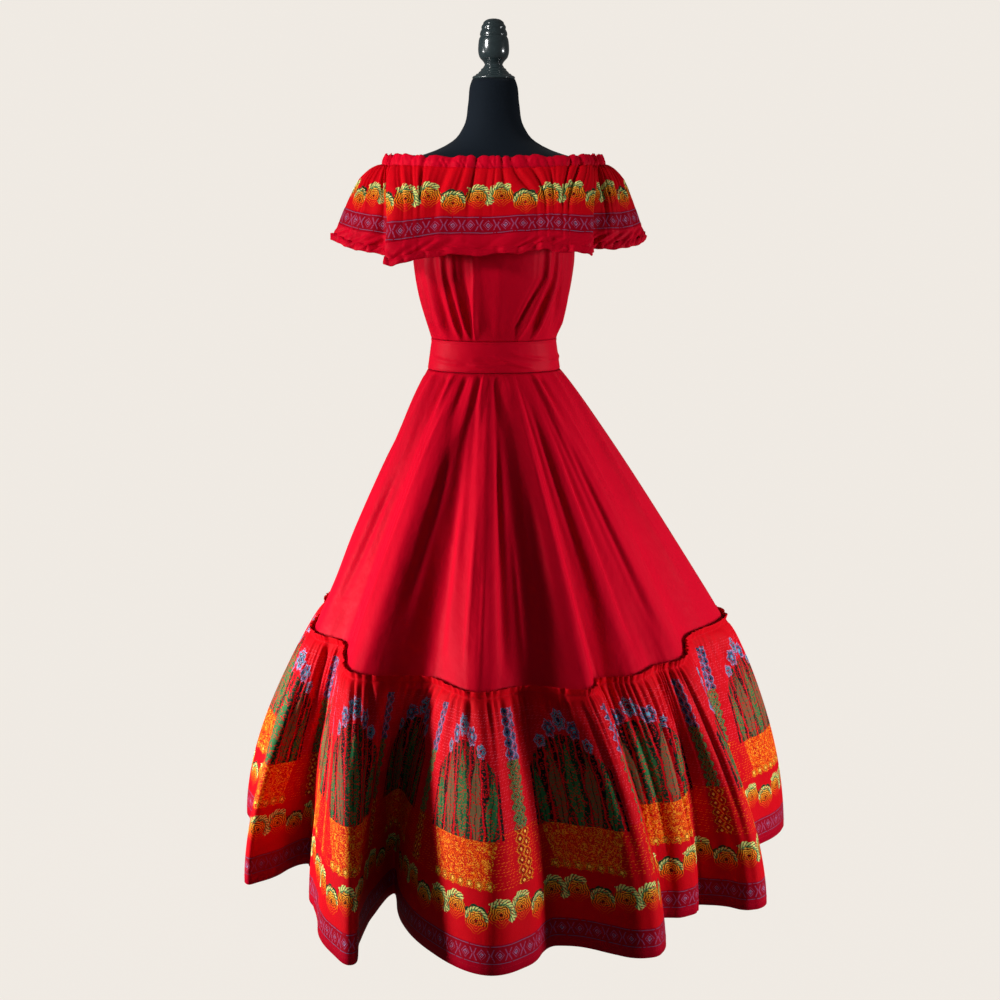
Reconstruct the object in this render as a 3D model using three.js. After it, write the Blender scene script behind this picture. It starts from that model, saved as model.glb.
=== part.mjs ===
// A red off-the-shoulder folk dress on a dress form: gathered neck flounce, fitted bodice,
// waistband, flared skirt and a deep gathered hem ruffle. Millimetres, +Z up, the front
// faces -Y, and the origin is the centre of the stand's underside.
import * as THREE from "three";

const CLOTH = 2; // thickness of every cloth wall
const SEAM_GAP = 0.3; // space kept between two pieces where they are sewn together
const LAP_GAP = 0.5; // space kept between two layers that lie on one another at a seam
const WAIST_EASE = 0.6; // space between the form and the waistband

const FLOOR_TO_HEM = 45;
const SKIRT_SEAM = { side: 518, frontDrop: 20, backDrop: 8 }; // where the ruffle is sewn on
const BAND = { bottom: 1008, waist: 1060, top: 1066 };
const UNDERARM = 1262;
const NECK = { half: 200, front: 102, back: 97, roundness: 2.3, low: 1381, sideRise: 4, casing: 17 };
const FORM_BOTTOM = 775;
const NECK_TOP = 1543;

const FORM_SIDES = 32; // columns round the form and the waistband
const FOLD_STEPS = { skirt: 4, ruffle: 8, flounce: 6 }; // columns from one table row to the next
const BODICE_COLUMNS = { front: 36, back: 28 };

const COLOURS = {
  satin: 0xc4061c,
  cambaya: 0xb50518,
  jersey: 0x10151c,
  lacquer: 0x1c2426,
  steel: 0x26282a,
};

// The dress form: half its width and its depth to the front and back at each height.
const FORM_SECTIONS = [
  { z: 775, half: 140, front: 95, back: 100 },
  { z: 812, half: 156, front: 105, back: 114 },
  { z: 865, half: 163, front: 108, back: 122 },
  { z: 915, half: 157, front: 102, back: 115 },
  { z: 960, half: 143, front: 95, back: 102 },
  { z: 1008, half: 124, front: 87, back: 89 },
  { z: 1060, half: 116.5, front: 84, back: 84 },
  { z: 1110, half: 124, front: 91, back: 86 },
  { z: 1170, half: 136, front: 108, back: 91 },
  { z: 1220, half: 144, front: 120, back: 96 },
  { z: 1265, half: 150, front: 118, back: 99 },
  { z: 1320, half: 168, front: 106, back: 98 },
  { z: 1360, half: 189, front: 93, back: 92 },
  { z: 1384, half: 197.5, front: 84, back: 85 },
  { z: 1393, half: 186, front: 77, back: 79 },
  { z: 1402, half: 150, front: 70, back: 72 },
  { z: 1414, half: 112, front: 63, back: 65 },
  { z: 1432, half: 77, front: 56, back: 58 },
  { z: 1456, half: 57.5, front: 49, back: 50 },
  { z: 1500, half: 47.5, front: 44, back: 45 },
  { z: 1535, half: 43, front: 41.5, back: 41.5 },
  { z: 1543, half: 40, front: 39, back: 39 },
];

// The bodice between the waistband and the neck, looser than the form over the ribs.
const BODICE_SECTIONS = [
  { z: 1100, half: 129, front: 100, back: 93 },
  { z: 1150, half: 142, front: 116, back: 99 },
  { z: 1205, half: 151, front: 128, back: 105 },
  { z: 1262, half: 156, front: 129, back: 108 },
  { z: 1280, half: 162, front: 126, back: 108 },
  { z: 1320, half: 178, front: 118, back: 106 },
  { z: 1355, half: 194, front: 108, back: 101 },
];

// Soft folds of the bodice, each rising from the waistband: its angle from the front there
// and over the bust, how far it stands out, and half its width in degrees.
const BODICE_FOLDS = [
  { waistAt: -70, bustAt: -76, out: 3.5, wide: 6 },
  { waistAt: -40, bustAt: -59, out: 5, wide: 5 },
  { waistAt: -28, bustAt: -44, out: 5, wide: 4.5 },
  { waistAt: -21, bustAt: -17, out: 3.5, wide: 4 },
  { waistAt: 8, bustAt: 42, out: 4, wide: 5 },
  { waistAt: 27, bustAt: 52, out: 5, wide: 5 },
  { waistAt: 44, bustAt: 64, out: 5, wide: 5 },
  { waistAt: 70, bustAt: 76, out: 4, wide: 5 },
  { waistAt: 125, bustAt: 112, out: 4, wide: 6 },
  { waistAt: 143, bustAt: 134, out: 5, wide: 6 },
  { waistAt: 164, bustAt: 160, out: 4, wide: 6 },
  { waistAt: 192, bustAt: 198, out: 4, wide: 6 },
  { waistAt: 214, bustAt: 225, out: 5, wide: 6 },
  { waistAt: 234, bustAt: 247, out: 4, wide: 6 },
];

// The crests and valleys of the skirt's folds from the left side round the front and back: the
// angle from the front and the distance from the axis at the ruffle's seam and at its hem.
const SKIRT_FOLDS = [
  { seamAt: -112, seamOut: 362, hemAt: -108, hemOut: 548 },
  { seamAt: -90, seamOut: 332, hemAt: -88, hemOut: 430 },
  { seamAt: -68, seamOut: 368, hemAt: -66, hemOut: 512 },
  { seamAt: -54, seamOut: 343, hemAt: -72, hemOut: 378 },
  { seamAt: -44, seamOut: 386, hemAt: -48, hemOut: 446 },
  { seamAt: -33, seamOut: 440, hemAt: -25, hemOut: 574 },
  { seamAt: -17, seamOut: 390, hemAt: -37, hemOut: 310 },
  { seamAt: -4, seamOut: 458, hemAt: -2, hemOut: 556 },
  { seamAt: 8, seamOut: 424, hemAt: 14, hemOut: 466 },
  { seamAt: 20, seamOut: 475, hemAt: 30, hemOut: 570 },
  { seamAt: 25, seamOut: 430, hemAt: 38, hemOut: 462 },
  { seamAt: 33, seamOut: 453, hemAt: 47, hemOut: 494 },
  { seamAt: 41, seamOut: 438, hemAt: 53, hemOut: 486 },
  { seamAt: 49, seamOut: 450, hemAt: 59, hemOut: 584 },
  { seamAt: 65, seamOut: 400, hemAt: 76, hemOut: 466 },
  { seamAt: 86, seamOut: 452, hemAt: 98, hemOut: 604 },
  { seamAt: 105, seamOut: 402, hemAt: 113, hemOut: 490 },
  { seamAt: 125, seamOut: 430, hemAt: 128, hemOut: 588 },
  { seamAt: 141, seamOut: 388, hemAt: 144, hemOut: 446 },
  { seamAt: 158, seamOut: 424, hemAt: 158, hemOut: 572 },
  { seamAt: 174, seamOut: 384, hemAt: 175, hemOut: 432 },
  { seamAt: 190, seamOut: 416, hemAt: 189, hemOut: 560 },
  { seamAt: 205, seamOut: 374, hemAt: 206, hemOut: 424 },
  { seamAt: 220, seamOut: 396, hemAt: 221, hemOut: 552 },
  { seamAt: 235, seamOut: 346, hemAt: 236, hemOut: 418 },
];
const SIDE_SEAM_ROWS = { left: 1, right: 15 };

// Rows of the ruffle from the hem up: how far below the seam, as a share of its depth or in
// millimetres, how far it stands out there, and the height of its small gathers.
const RUFFLE_ROWS = [
  { share: 1, out: 0, gather: 0 },
  { share: 0.72, out: 0, gather: 0 },
  { share: 0.44, out: 0, gather: 0.8 },
  { share: 0.18, out: 2, gather: 2.6 },
  { below: 17, out: 3, gather: 4.5 },
  { below: 0, out: 0, gather: 0 },
  { below: -12, out: 4.5, gather: 2.5 },
];

// The neck flounce from the left side round the front and back: the angle where each line
// leaves the neck, and its angle, distance and height at the lower edge.
const FLOUNCE_FOLDS = [
  { topAt: -92, at: -90, out: 304, low: 1252 },
  { topAt: -83, at: -73, out: 268, low: 1236 },
  { topAt: -78, at: -60, out: 216, low: 1224 },
  { topAt: -72, at: -50, out: 248, low: 1211 },
  { topAt: -45, at: -31, out: 192, low: 1228 },
  { topAt: 0, at: -1, out: 166, low: 1230 },
  { topAt: 44, at: 29, out: 190, low: 1238 },
  { topAt: 70, at: 47, out: 238, low: 1231 },
  { topAt: 76, at: 57, out: 205, low: 1236 },
  { topAt: 82, at: 72, out: 262, low: 1240 },
  { topAt: 91, at: 90, out: 286, low: 1252 },
  { topAt: 102, at: 110, out: 262, low: 1240 },
  { topAt: 122, at: 136, out: 214, low: 1230 },
  { topAt: 156, at: 160, out: 178, low: 1234 },
  { topAt: 204, at: 200, out: 182, low: 1229 },
  { topAt: 238, at: 226, out: 220, low: 1232 },
  { topAt: 257, at: 250, out: 266, low: 1240 },
];
const BORDER_FROM = 0.77; // the flounce's plain border, as a share of the way down
const FLOUNCE_ROWS = [
  { down: BORDER_FROM, gather: 0 },
  { down: 0.42, gather: 1.2 },
  { down: 0.14, gather: 2.8 },
  { down: 0, gather: 0 },
];
const FLOUNCE_PUFF = 0.52; // under 1, the flounce swells out at the shoulders

const FINIAL_PROFILE = [
  { r: 38, z: 0 },
  { r: 39.5, z: 2 },
  { r: 38, z: 5 },
  { r: 31, z: 9 },
  { r: 22, z: 19 },
  { r: 16.5, z: 26 },
  { r: 17.5, z: 29 },
  { r: 25, z: 38 },
  { r: 28.5, z: 52 },
  { r: 28, z: 64 },
  { r: 26, z: 74 },
  { r: 24.2, z: 77 },
  { r: 25, z: 82 },
  { r: 22, z: 89 },
  { r: 22.4, z: 94 },
  { r: 17.5, z: 99 },
  { r: 15, z: 104 },
  { r: 8, z: 108 },
];
const BASE_PROFILE = [
  { r: 160, z: 0 },
  { r: 165, z: 4 },
  { r: 165, z: 9 },
  { r: 158, z: 13 },
  { r: 36, z: 17 },
  { r: 27, z: 24 },
  { r: 24, z: 48 },
];
const POLE = { radius: 12.5, sides: 16 };
const TURNED_SIDES = { finial: 16, base: 24 };

const radians = THREE.MathUtils.degToRad;
const lerp = THREE.MathUtils.lerp;

// A point at an angle from the front, seen from above, and a distance from the axis.
function polar(at, out, z) {
  return new THREE.Vector3(out * Math.sin(radians(at)), -out * Math.cos(radians(at)), z);
}

// The distance from the axis to an oval that is deeper at the front than at the back, or
// the other way round. A roundness of 2 is an ellipse, and more squares its corners.
function ovalOut(at, { half, front, back, roundness = 2 }) {
  const side = Math.abs(Math.sin(radians(at))) / half;
  const cosine = Math.cos(radians(at));
  const depth = Math.abs(cosine) / (cosine > 0 ? front : back);
  return (side ** roundness + depth ** roundness) ** (-1 / roundness);
}

// Sizes between two rows of a table of sections, worked out along a straight line.
function sectionAt(sections, z) {
  const above = Math.max(1, sections.findIndex((row) => row.z >= z));
  const [low, high] = [sections[above - 1], sections[above]];
  const share = (z - low.z) / (high.z - low.z);
  const part = (name) => lerp(low[name], high[name], share);
  return { z, half: part("half"), front: part("front"), back: part("back") };
}

function eased(section, ease) {
  const { z, half, front, back } = section;
  return { z, half: half + ease, front: front + ease, back: back + ease };
}

// One column of a table that closes on itself, as a smooth curve through its rows. An angle
// goes on past a full turn, so turn is 360 for an angle and 0 for a length.
function roundTable(rows, name, place, turn = 0) {
  const count = rows.length;
  const first = Math.floor(place);
  const share = place - first;
  const value = (row) => rows[((row % count) + count) % count][name] + turn * Math.floor(row / count);
  const [a, b, c, d] = [value(first - 1), value(first), value(first + 1), value(first + 2)];
  const bend = 2 * a - 5 * b + 4 * c - d + share * (3 * (b - c) + d - a);
  return b + 0.5 * share * (c - a + share * bend);
}

// Places along a table, with the same number of steps from each row to the next.
function placesAlong(firstRow, lastRow, steps) {
  const count = (lastRow - firstRow) * steps;
  return Array.from({ length: count + 1 }, (_, i) => firstRow + i / steps);
}

// Places all the way round a table.
function placesRound(rows, steps) {
  return placesAlong(0, rows.length, steps).slice(0, -1);
}

// A line of points through a function of place, each with its outward normal seen from
// above. The normal looks one column ahead and back, past the ends too, so that two panels
// that meet at a seam end in the same direction.
function lineOf(pointAt, places) {
  const step = places[1] - places[0];
  return places.map((place) => {
    const [before, after] = [pointAt(place - step), pointAt(place + step)];
    const normal = new THREE.Vector3(after.y - before.y, before.x - after.x, 0).normalize();
    return { point: pointAt(place), normal };
  });
}

// The same line moved out by a distance for each column.
function movedOut(line, distanceAt) {
  return line.map(({ point, normal }, i) => {
    return { point: point.clone().addScaledVector(normal, distanceAt(i)), normal };
  });
}

// The ends of a line, drawn in by half a seam gap.
function trimmedEnds(line) {
  const trim = ({ point, normal }, way) => {
    const along = new THREE.Vector3(-normal.y, normal.x, 0);
    return { point: point.clone().addScaledVector(along, (way * SEAM_GAP) / 2), normal };
  };
  return [trim(line[0], 1), ...line.slice(1, -1), trim(line[line.length - 1], -1)];
}

// Small gathers: every other column stands out, and the ones between stand in.
function gathered(size, out = 0) {
  return (i) => out + (i % 2 ? -size : size);
}

// Lists of faces as a geometry: a corner is an index into points.
function geometryOf(points, quads, triangles = []) {
  const faces = quads.flatMap(([a, b, c, d]) => [a, b, c, a, c, d]).concat(triangles.flat());
  const geometry = new THREE.BufferGeometry().setFromPoints(points).setIndex(faces);
  geometry.computeVertexNormals();
  return geometry;
}

// A cloth wall through lines along its middle, listed from the bottom up. Each line runs from
// the left over the front to the right, and is closed or has two ends.
function clothWall(lines, closed, thickness = CLOTH) {
  const columns = lines[0].length;
  const face = (out) => lines.flatMap((line) => movedOut(line, () => out).map(({ point }) => point));
  const points = [...face(thickness / 2), ...face(-thickness / 2)];
  const inner = lines.length * columns;
  const top = lines.length - 1;
  const at = (row, column) => row * columns + (column % columns);
  const quads = [];
  const spans = closed ? columns : columns - 1;
  for (let i = 0; i < spans; i++) {
    for (let k = 0; k < top; k++) {
      const quad = [at(k, i), at(k, i + 1), at(k + 1, i + 1), at(k + 1, i)];
      const [a, b, c, d] = quad.map((corner) => corner + inner);
      quads.push(quad, [a, d, c, b]);
    }
    quads.push([at(0, i) + inner, at(0, i + 1) + inner, at(0, i + 1), at(0, i)]);
    quads.push([at(top, i + 1), at(top, i + 1) + inner, at(top, i) + inner, at(top, i)]);
  }
  for (let k = 0; !closed && k < top; k++) {
    const end = columns - 1;
    quads.push([at(k, 0), at(k + 1, 0), at(k + 1, 0) + inner, at(k, 0) + inner]);
    quads.push([at(k, end) + inner, at(k + 1, end) + inner, at(k + 1, end), at(k, end)]);
  }
  return geometryOf(points, quads);
}

// A solid through closed rings, listed from the bottom up, with a flat top and bottom.
function loftedSolid(rings) {
  const columns = rings[0].length;
  const at = (ring, column) => ring * columns + (column % columns);
  const quads = [];
  const triangles = [];
  const points = rings.flat();
  const middles = [rings[0], rings[rings.length - 1]].map((ring) => new THREE.Vector3(0, 0, ring[0].z));
  const bottom = points.push(...middles) - 2;
  for (let i = 0; i < columns; i++) {
    for (let k = 0; k + 1 < rings.length; k++) {
      quads.push([at(k, i), at(k, i + 1), at(k + 1, i + 1), at(k + 1, i)]);
    }
    triangles.push([bottom, at(0, i + 1), at(0, i)]);
    triangles.push([bottom + 1, at(rings.length - 1, i), at(rings.length - 1, i + 1)]);
  }
  return geometryOf(points, quads, triangles);
}

const materials = {
  satin: new THREE.MeshStandardMaterial({ color: COLOURS.satin, roughness: 0.42, metalness: 0 }),
  cambaya: new THREE.MeshStandardMaterial({ color: COLOURS.cambaya, roughness: 0.75, metalness: 0 }),
  jersey: new THREE.MeshStandardMaterial({ color: COLOURS.jersey, roughness: 0.85, metalness: 0 }),
  lacquer: new THREE.MeshStandardMaterial({ color: COLOURS.lacquer, roughness: 0.2, metalness: 0 }),
  steel: new THREE.MeshStandardMaterial({ color: COLOURS.steel, roughness: 0.5, metalness: 0.3 }),
};

function piece(name, geometry, material) {
  const mesh = new THREE.Mesh(geometry, material);
  mesh.name = name;
  return mesh;
}

// The form: an oval loft with a neck, rounded shoulders and a flat underside.
function dressForm() {
  const angles = Array.from({ length: FORM_SIDES }, (_, i) => (i * 360) / FORM_SIDES);
  const rings = FORM_SECTIONS.map((s) => angles.map((at) => polar(at, ovalOut(at, s), s.z)));
  return piece("form_torso", loftedSolid(rings), materials.jersey);
}

// A turned piece on the axis, standing at a height.
function turned(name, profile, sides, height, material) {
  const ends = [profile[0], profile[profile.length - 1]].map(({ z }) => new THREE.Vector2(0, z));
  const outline = [ends[0], ...profile.map(({ r, z }) => new THREE.Vector2(r, z)), ends[1]];
  const mesh = piece(name, new THREE.LatheGeometry(outline, sides), material);
  mesh.rotation.x = Math.PI / 2;
  mesh.position.z = height;
  return mesh;
}

function stand() {
  const hubTop = BASE_PROFILE[BASE_PROFILE.length - 1].z;
  const bottom = hubTop + SEAM_GAP;
  const length = FORM_BOTTOM - SEAM_GAP - bottom;
  const rod = new THREE.CylinderGeometry(POLE.radius, POLE.radius, length, POLE.sides);
  const pole = piece("stand_pole", rod, materials.steel);
  pole.rotation.x = Math.PI / 2;
  pole.position.z = bottom + length / 2;
  return [turned("stand_base", BASE_PROFILE, TURNED_SIDES.base, 0, materials.steel), pole];
}

function seamHeight(at) {
  const cosine = Math.cos(radians(at));
  const drop = cosine > 0 ? SKIRT_SEAM.frontDrop : SKIRT_SEAM.backDrop;
  return SKIRT_SEAM.side - drop * cosine * cosine;
}

// A point of the ruffle's seam line, where the skirt ends.
function seamPoint(place) {
  const at = roundTable(SKIRT_FOLDS, "seamAt", place, 360);
  return polar(at, roundTable(SKIRT_FOLDS, "seamOut", place), seamHeight(at));
}

// The oval along the middle of the waistband's cloth.
function bandOval(z) {
  return eased(sectionAt(FORM_SECTIONS, z), WAIST_EASE + CLOTH / 2);
}

// A point of the skirt on the line that ends at a place of the seam. The skirt flares from
// the waistband, and its folds grow from nothing there.
function skirtPoint(place, down) {
  const flare = 0.92; // under 1, the skirt is a little fuller at the hips than a cone
  const at = roundTable(SKIRT_FOLDS, "seamAt", place, 360);
  const waist = polar(at, ovalOut(at, bandOval(BAND.bottom)), BAND.bottom);
  const seam = seamPoint(place);
  const point = waist.clone().lerp(seam, down ** flare);
  point.z = lerp(waist.z, seam.z, down);
  return point;
}

function skirtPanel(name, firstRow, lastRow) {
  const rows = [1, 0.77, 0.54, 0.32, 0.13, 0];
  const places = placesAlong(firstRow, lastRow, FOLD_STEPS.skirt);
  const lines = rows.map((down) => trimmedEnds(lineOf((place) => skirtPoint(place, down), places)));
  return piece(name, clothWall(lines, false), materials.satin);
}

// Where the ruffle is pinched against the skirt: it follows the skirt's own columns, and
// between them it runs straight, so that the two walls stay parallel.
function pinchedPoint(place) {
  const first = Math.floor(place * FOLD_STEPS.skirt);
  const ends = [first, first + 1].map((column) => column / FOLD_STEPS.skirt);
  const seam = ends.map((end) => lineOf(seamPoint, [end, end + 1 / FOLD_STEPS.skirt])[0]);
  const [from, to] = movedOut(seam, () => CLOTH + LAP_GAP).map(({ point }) => point);
  return from.lerp(to, place * FOLD_STEPS.skirt - first);
}

// A point of the ruffle, below or a little above the seam. It opens out fast under the seam
// and then hangs.
function rufflePoint(place, share, below) {
  const opening = 1.7;
  const seam = pinchedPoint(place);
  const down = share ?? below / (seam.z - FLOOR_TO_HEM);
  const spread = down > 0 ? 1 - (1 - down) ** opening : 0;
  const blend = (seamName, hemName, turn) => {
    return lerp(roundTable(SKIRT_FOLDS, seamName, place, turn), roundTable(SKIRT_FOLDS, hemName, place, turn), spread);
  };
  const out = blend("seamOut", "hemOut", 0) + CLOTH + LAP_GAP;
  return polar(blend("seamAt", "hemAt", 360), out, lerp(seam.z, FLOOR_TO_HEM, down));
}

// The ruffle hangs outside the skirt's edge: a small frill above the seam, fine gathers
// below it, and deep folds that open out towards the hem.
function ruffle(name, firstRow, lastRow) {
  const places = placesAlong(firstRow, lastRow, FOLD_STEPS.ruffle);
  const lines = RUFFLE_ROWS.map(({ share, below, out, gather }) => {
    const pointAt = below === 0 ? pinchedPoint : (place) => rufflePoint(place, share, below);
    return trimmedEnds(movedOut(lineOf(pointAt, places), gathered(gather, out)));
  });
  return piece(name, clothWall(lines, false), materials.cambaya);
}

function waistband(name, from) {
  const step = 360 / FORM_SIDES;
  const angles = Array.from({ length: FORM_SIDES / 2 + 1 }, (_, i) => from + i * step);
  const heights = [BAND.bottom + SEAM_GAP, lerp(BAND.bottom, BAND.waist, 0.5), BAND.waist, BAND.top - SEAM_GAP];
  const lines = heights.map((z) => trimmedEnds(lineOf((at) => polar(at, ovalOut(at, bandOval(z)), z), angles)));
  return piece(name, clothWall(lines, false), materials.satin);
}

// How far the bodice's folds stand out, fading at the waistband and under the flounce.
function bodiceFold(at, z) {
  const rise = (z - BAND.top) / (UNDERARM - BAND.top);
  const fade = Math.min(1, 6 * rise) * Math.max(0, 1.15 - rise);
  const folds = BODICE_FOLDS.map(({ waistAt, bustAt, out, wide }) => {
    const middle = lerp(waistAt, bustAt, Math.min(1, rise / 0.6));
    const away = ((at - middle + 540) % 360) - 180;
    return out * Math.exp(-((away / wide) ** 2));
  });
  return fade * folds.reduce((sum, value) => sum + value, 0);
}

// The neck's line moved in or out, with its height, for what hangs under the casing.
function neckPoint(at, out, z) {
  return polar(at, ovalOut(at, eased({ ...NECK, z }, out)), z);
}

function neckSeam(at) {
  return NECK.low + NECK.sideRise * Math.sin(radians(at)) ** 2;
}

// One bodice panel. Above the underarm it narrows to leave the armholes open.
function bodicePanel(name, middle, columns) {
  const sideAngle = 89.93;
  const neckAngle = 64;
  const tuckedIn = -(CLOTH + LAP_GAP) / 2;
  const steps = Array.from({ length: columns + 1 }, (_, i) => (2 * i) / columns - 1);
  const lines = [bandOval(BAND.top), ...BODICE_SECTIONS].map((section) => {
    const climb = Math.max(0, (section.z - UNDERARM) / (NECK.low - UNDERARM));
    const reach = lerp(sideAngle, neckAngle, Math.sqrt(1 - (1 - climb) ** 2));
    const pointAt = (share) => {
      const at = middle + reach * share;
      return polar(at, ovalOut(at, section) + bodiceFold(at, section.z), section.z);
    };
    return lineOf(pointAt, steps);
  });
  const edgeAt = (share) => {
    const at = middle + neckAngle * share;
    return neckPoint(at, tuckedIn, neckSeam(at) - SEAM_GAP);
  };
  return piece(name, clothWall([...lines, lineOf(edgeAt, steps)], false), materials.satin);
}

// The casing round the neck's elastic: a thick band in small gathers.
function neckCasing() {
  const thickness = 3;
  const rows = [
    { up: 0, out: 0, gather: 0.6, wave: 0 },
    { up: 0.5, out: 0, gather: 2, wave: 0 },
    { up: 1, out: -5, gather: 1.5, wave: 2 },
  ];
  const places = placesRound(FLOUNCE_FOLDS, FOLD_STEPS.flounce);
  const lines = rows.map(({ up, out, gather, wave }) => {
    const pointAt = (place) => {
      const at = roundTable(FLOUNCE_FOLDS, "topAt", place, 360);
      return neckPoint(at, 0, neckSeam(at) + up * NECK.casing);
    };
    const line = movedOut(lineOf(pointAt, places), gathered(gather, out));
    line.forEach(({ point }, i) => (point.z += gathered(wave)(i)));
    return line;
  });
  return piece("neck_casing", clothWall(lines, true, thickness), materials.satin);
}

// A point of the flounce on the line that leaves the neck at a place of the table. It runs
// straight down over the chest and swells over the shoulders.
function flouncePoint(place, down) {
  const topAt = roundTable(FLOUNCE_FOLDS, "topAt", place, 360);
  const top = neckPoint(topAt, (CLOTH + LAP_GAP) / 2, neckSeam(topAt) - SEAM_GAP);
  const at = roundTable(FLOUNCE_FOLDS, "at", place, 360);
  const low = polar(at, roundTable(FLOUNCE_FOLDS, "out", place), roundTable(FLOUNCE_FOLDS, "low", place));
  const puff = lerp(1, FLOUNCE_PUFF, Math.sin(radians(topAt)) ** 4);
  const point = top.clone().lerp(low, down ** puff);
  point.z = lerp(top.z, low.z, down);
  return point;
}

// The flounce's cambaya and the plain border sewn to its lower edge.
function flounce() {
  const places = placesRound(FLOUNCE_FOLDS, FOLD_STEPS.flounce);
  const lineAt = ({ down, gather = 0, lift = 0 }) => {
    const line = movedOut(lineOf((place) => flouncePoint(place, down), places), gathered(gather));
    line.forEach(({ point }) => (point.z += lift));
    return line;
  };
  const upper = FLOUNCE_ROWS.map(lineAt);
  const border = [{ down: 1 }, { down: BORDER_FROM, lift: -SEAM_GAP }].map(lineAt);
  return [
    piece("flounce", clothWall(upper, true), materials.cambaya),
    piece("flounce_border", clothWall(border, true), materials.satin),
  ];
}

function dress() {
  const { left, right } = SIDE_SEAM_ROWS;
  const leftAgain = left + SKIRT_FOLDS.length;
  return [
    neckCasing(),
    ...flounce(),
    bodicePanel("bodice_front", 0, BODICE_COLUMNS.front),
    bodicePanel("bodice_back", 180, BODICE_COLUMNS.back),
    waistband("waistband_front", -90),
    waistband("waistband_back", 90),
    skirtPanel("skirt_front", left, right),
    skirtPanel("skirt_back", right, leftAgain),
    ruffle("ruffle_front", left, right),
    ruffle("ruffle_back", right, leftAgain),
  ];
}

const dressOnForm = new THREE.Group();
dressOnForm.name = "dress_on_form";
const finial = turned("finial", FINIAL_PROFILE, TURNED_SIDES.finial, NECK_TOP + SEAM_GAP, materials.lacquer);
dressOnForm.add(...stand(), dressForm(), finial, ...dress());

export default dressOnForm;
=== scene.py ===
"""A red folk dress on its form: cloth, sewing, form, stand and studio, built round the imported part."""

import math

import bpy
import numpy as np
from bpy.props import FloatProperty, FloatVectorProperty, IntProperty, PointerProperty
from bpy.types import Operator, Panel, PropertyGroup
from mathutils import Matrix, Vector


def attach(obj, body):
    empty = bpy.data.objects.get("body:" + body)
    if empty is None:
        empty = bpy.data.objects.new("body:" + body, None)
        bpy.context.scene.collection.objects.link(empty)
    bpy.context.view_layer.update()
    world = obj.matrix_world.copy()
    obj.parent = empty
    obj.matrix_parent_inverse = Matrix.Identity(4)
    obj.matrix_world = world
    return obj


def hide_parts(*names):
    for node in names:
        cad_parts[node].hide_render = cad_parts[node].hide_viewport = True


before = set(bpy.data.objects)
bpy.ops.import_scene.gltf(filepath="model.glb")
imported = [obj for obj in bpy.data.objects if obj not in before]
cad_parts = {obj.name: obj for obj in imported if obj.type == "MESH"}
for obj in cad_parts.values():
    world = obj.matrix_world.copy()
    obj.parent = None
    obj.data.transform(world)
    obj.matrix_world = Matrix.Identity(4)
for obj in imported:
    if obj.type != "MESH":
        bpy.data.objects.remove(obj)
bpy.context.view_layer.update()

bl_info = {
    "name": "Folk dress on its form",
    "version": (1, 0, 0),
    "blender": (4, 5, 0),
    "location": "3D View > Sidebar > Dress",
    "description": "Makes the cloth, sewing, form and studio of a gathered folk dress",
    "category": "Add Mesh",
}

# The main sizes, in millimetres, with the front of the dress towards -Y.
MM = 0.001
CLOTH = 1.1  # thickness of the cloth
NECK_LAP = 1.25  # how far the flounce's top edge lies outside the neckline's oval
HEM_Z = 45.0
WAIST = {"bottom": 1008.3, "top": 1065.7, "ease": 1.6}
UNDERARM = 1262.0
NECK = {"half": 200.0, "front": 102.0, "back": 97.0, "low": 1381.0, "side_rise": 4.0, "casing": 17.0}
NECK_ROUNDNESS = 2.3
SEAM = {"side": 518.0, "front_drop": 20.0, "back_drop": 8.0}
BORDER_FROM = 0.77  # how far down the flounce its plain border starts, as a share of its length
FLOUNCE_LENGTH = 180.0
RUFFLE_LENGTH = 475.0
HEADING = 13.0  # the frill of the ruffle above its gathering stitches
HEM_STITCHES = 13.0  # from the hem's fold up to its stitches
BAND_HEIGHT = 58.0

# Sections of the form: height, half width, depth in front and behind.
FORM_SECTIONS = np.array([
    (775, 140, 95, 100), (812, 156, 105, 114), (865, 163, 108, 122), (915, 157, 102, 115),
    (960, 143, 95, 102), (1008, 124, 87, 89), (1060, 116.5, 84, 84), (1110, 124, 91, 86),
    (1170, 136, 108, 91), (1220, 144, 120, 96), (1265, 150, 118, 99), (1320, 168, 106, 98),
    (1360, 189, 93, 92), (1384, 197.5, 84, 85), (1393, 186, 77, 79), (1402, 150, 70, 72),
    (1414, 112, 63, 65), (1432, 77, 56, 58), (1456, 57.5, 49, 50), (1500, 47.5, 44, 45),
    (1535, 43, 41.5, 41.5), (1543, 40, 39, 39),
], float)
# Sections of the bodice, in the same order.
BODICE_SECTIONS = np.array([
    (1066, 119.1, 86.6, 86.1), (1100, 129, 100, 93), (1150, 142, 116, 99), (1205, 151, 128, 105),
    (1262, 156, 129, 108), (1280, 162, 126, 108), (1320, 178, 118, 106), (1355, 194, 108, 101),
    (1381, 199, 101, 96),
], float)

# Ridges and troughs of the bodice: angle at the waist, angle at the bust, how far out, half width
# in degrees.
BODICE_FOLDS = [
    (-72, -77, 4, 6), (-55, -60, 6, 5), (-47, -51, -5, 3), (-40, -44, 6, 2.7), (-34.5, -39, -3, 2.2),
    (-29, -35, 6, 2.8), (-25.5, -25, -6, 3.6), (-21.5, -15.5, 5, 2.8), (4, 6, 2, 6), (20, 42, -5, 3.2),
    (28, 47, 6.5, 2.8), (36, 53, -6, 3), (46, 57, 6.5, 2.8), (68, 61, -6, 3.4), (80, 73, 5, 4),
    (112, 104, -3, 5), (125, 112, 6, 6), (135, 124, -4, 4), (143, 134, 7, 5), (154, 148, -5, 4),
    (164, 160, 6, 5), (178, 179, -3, 5), (192, 198, 6, 5), (203, 211, -5, 4), (214, 225, 7, 5),
    (224, 236, -4, 4), (234, 247, 6, 5),
]
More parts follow.
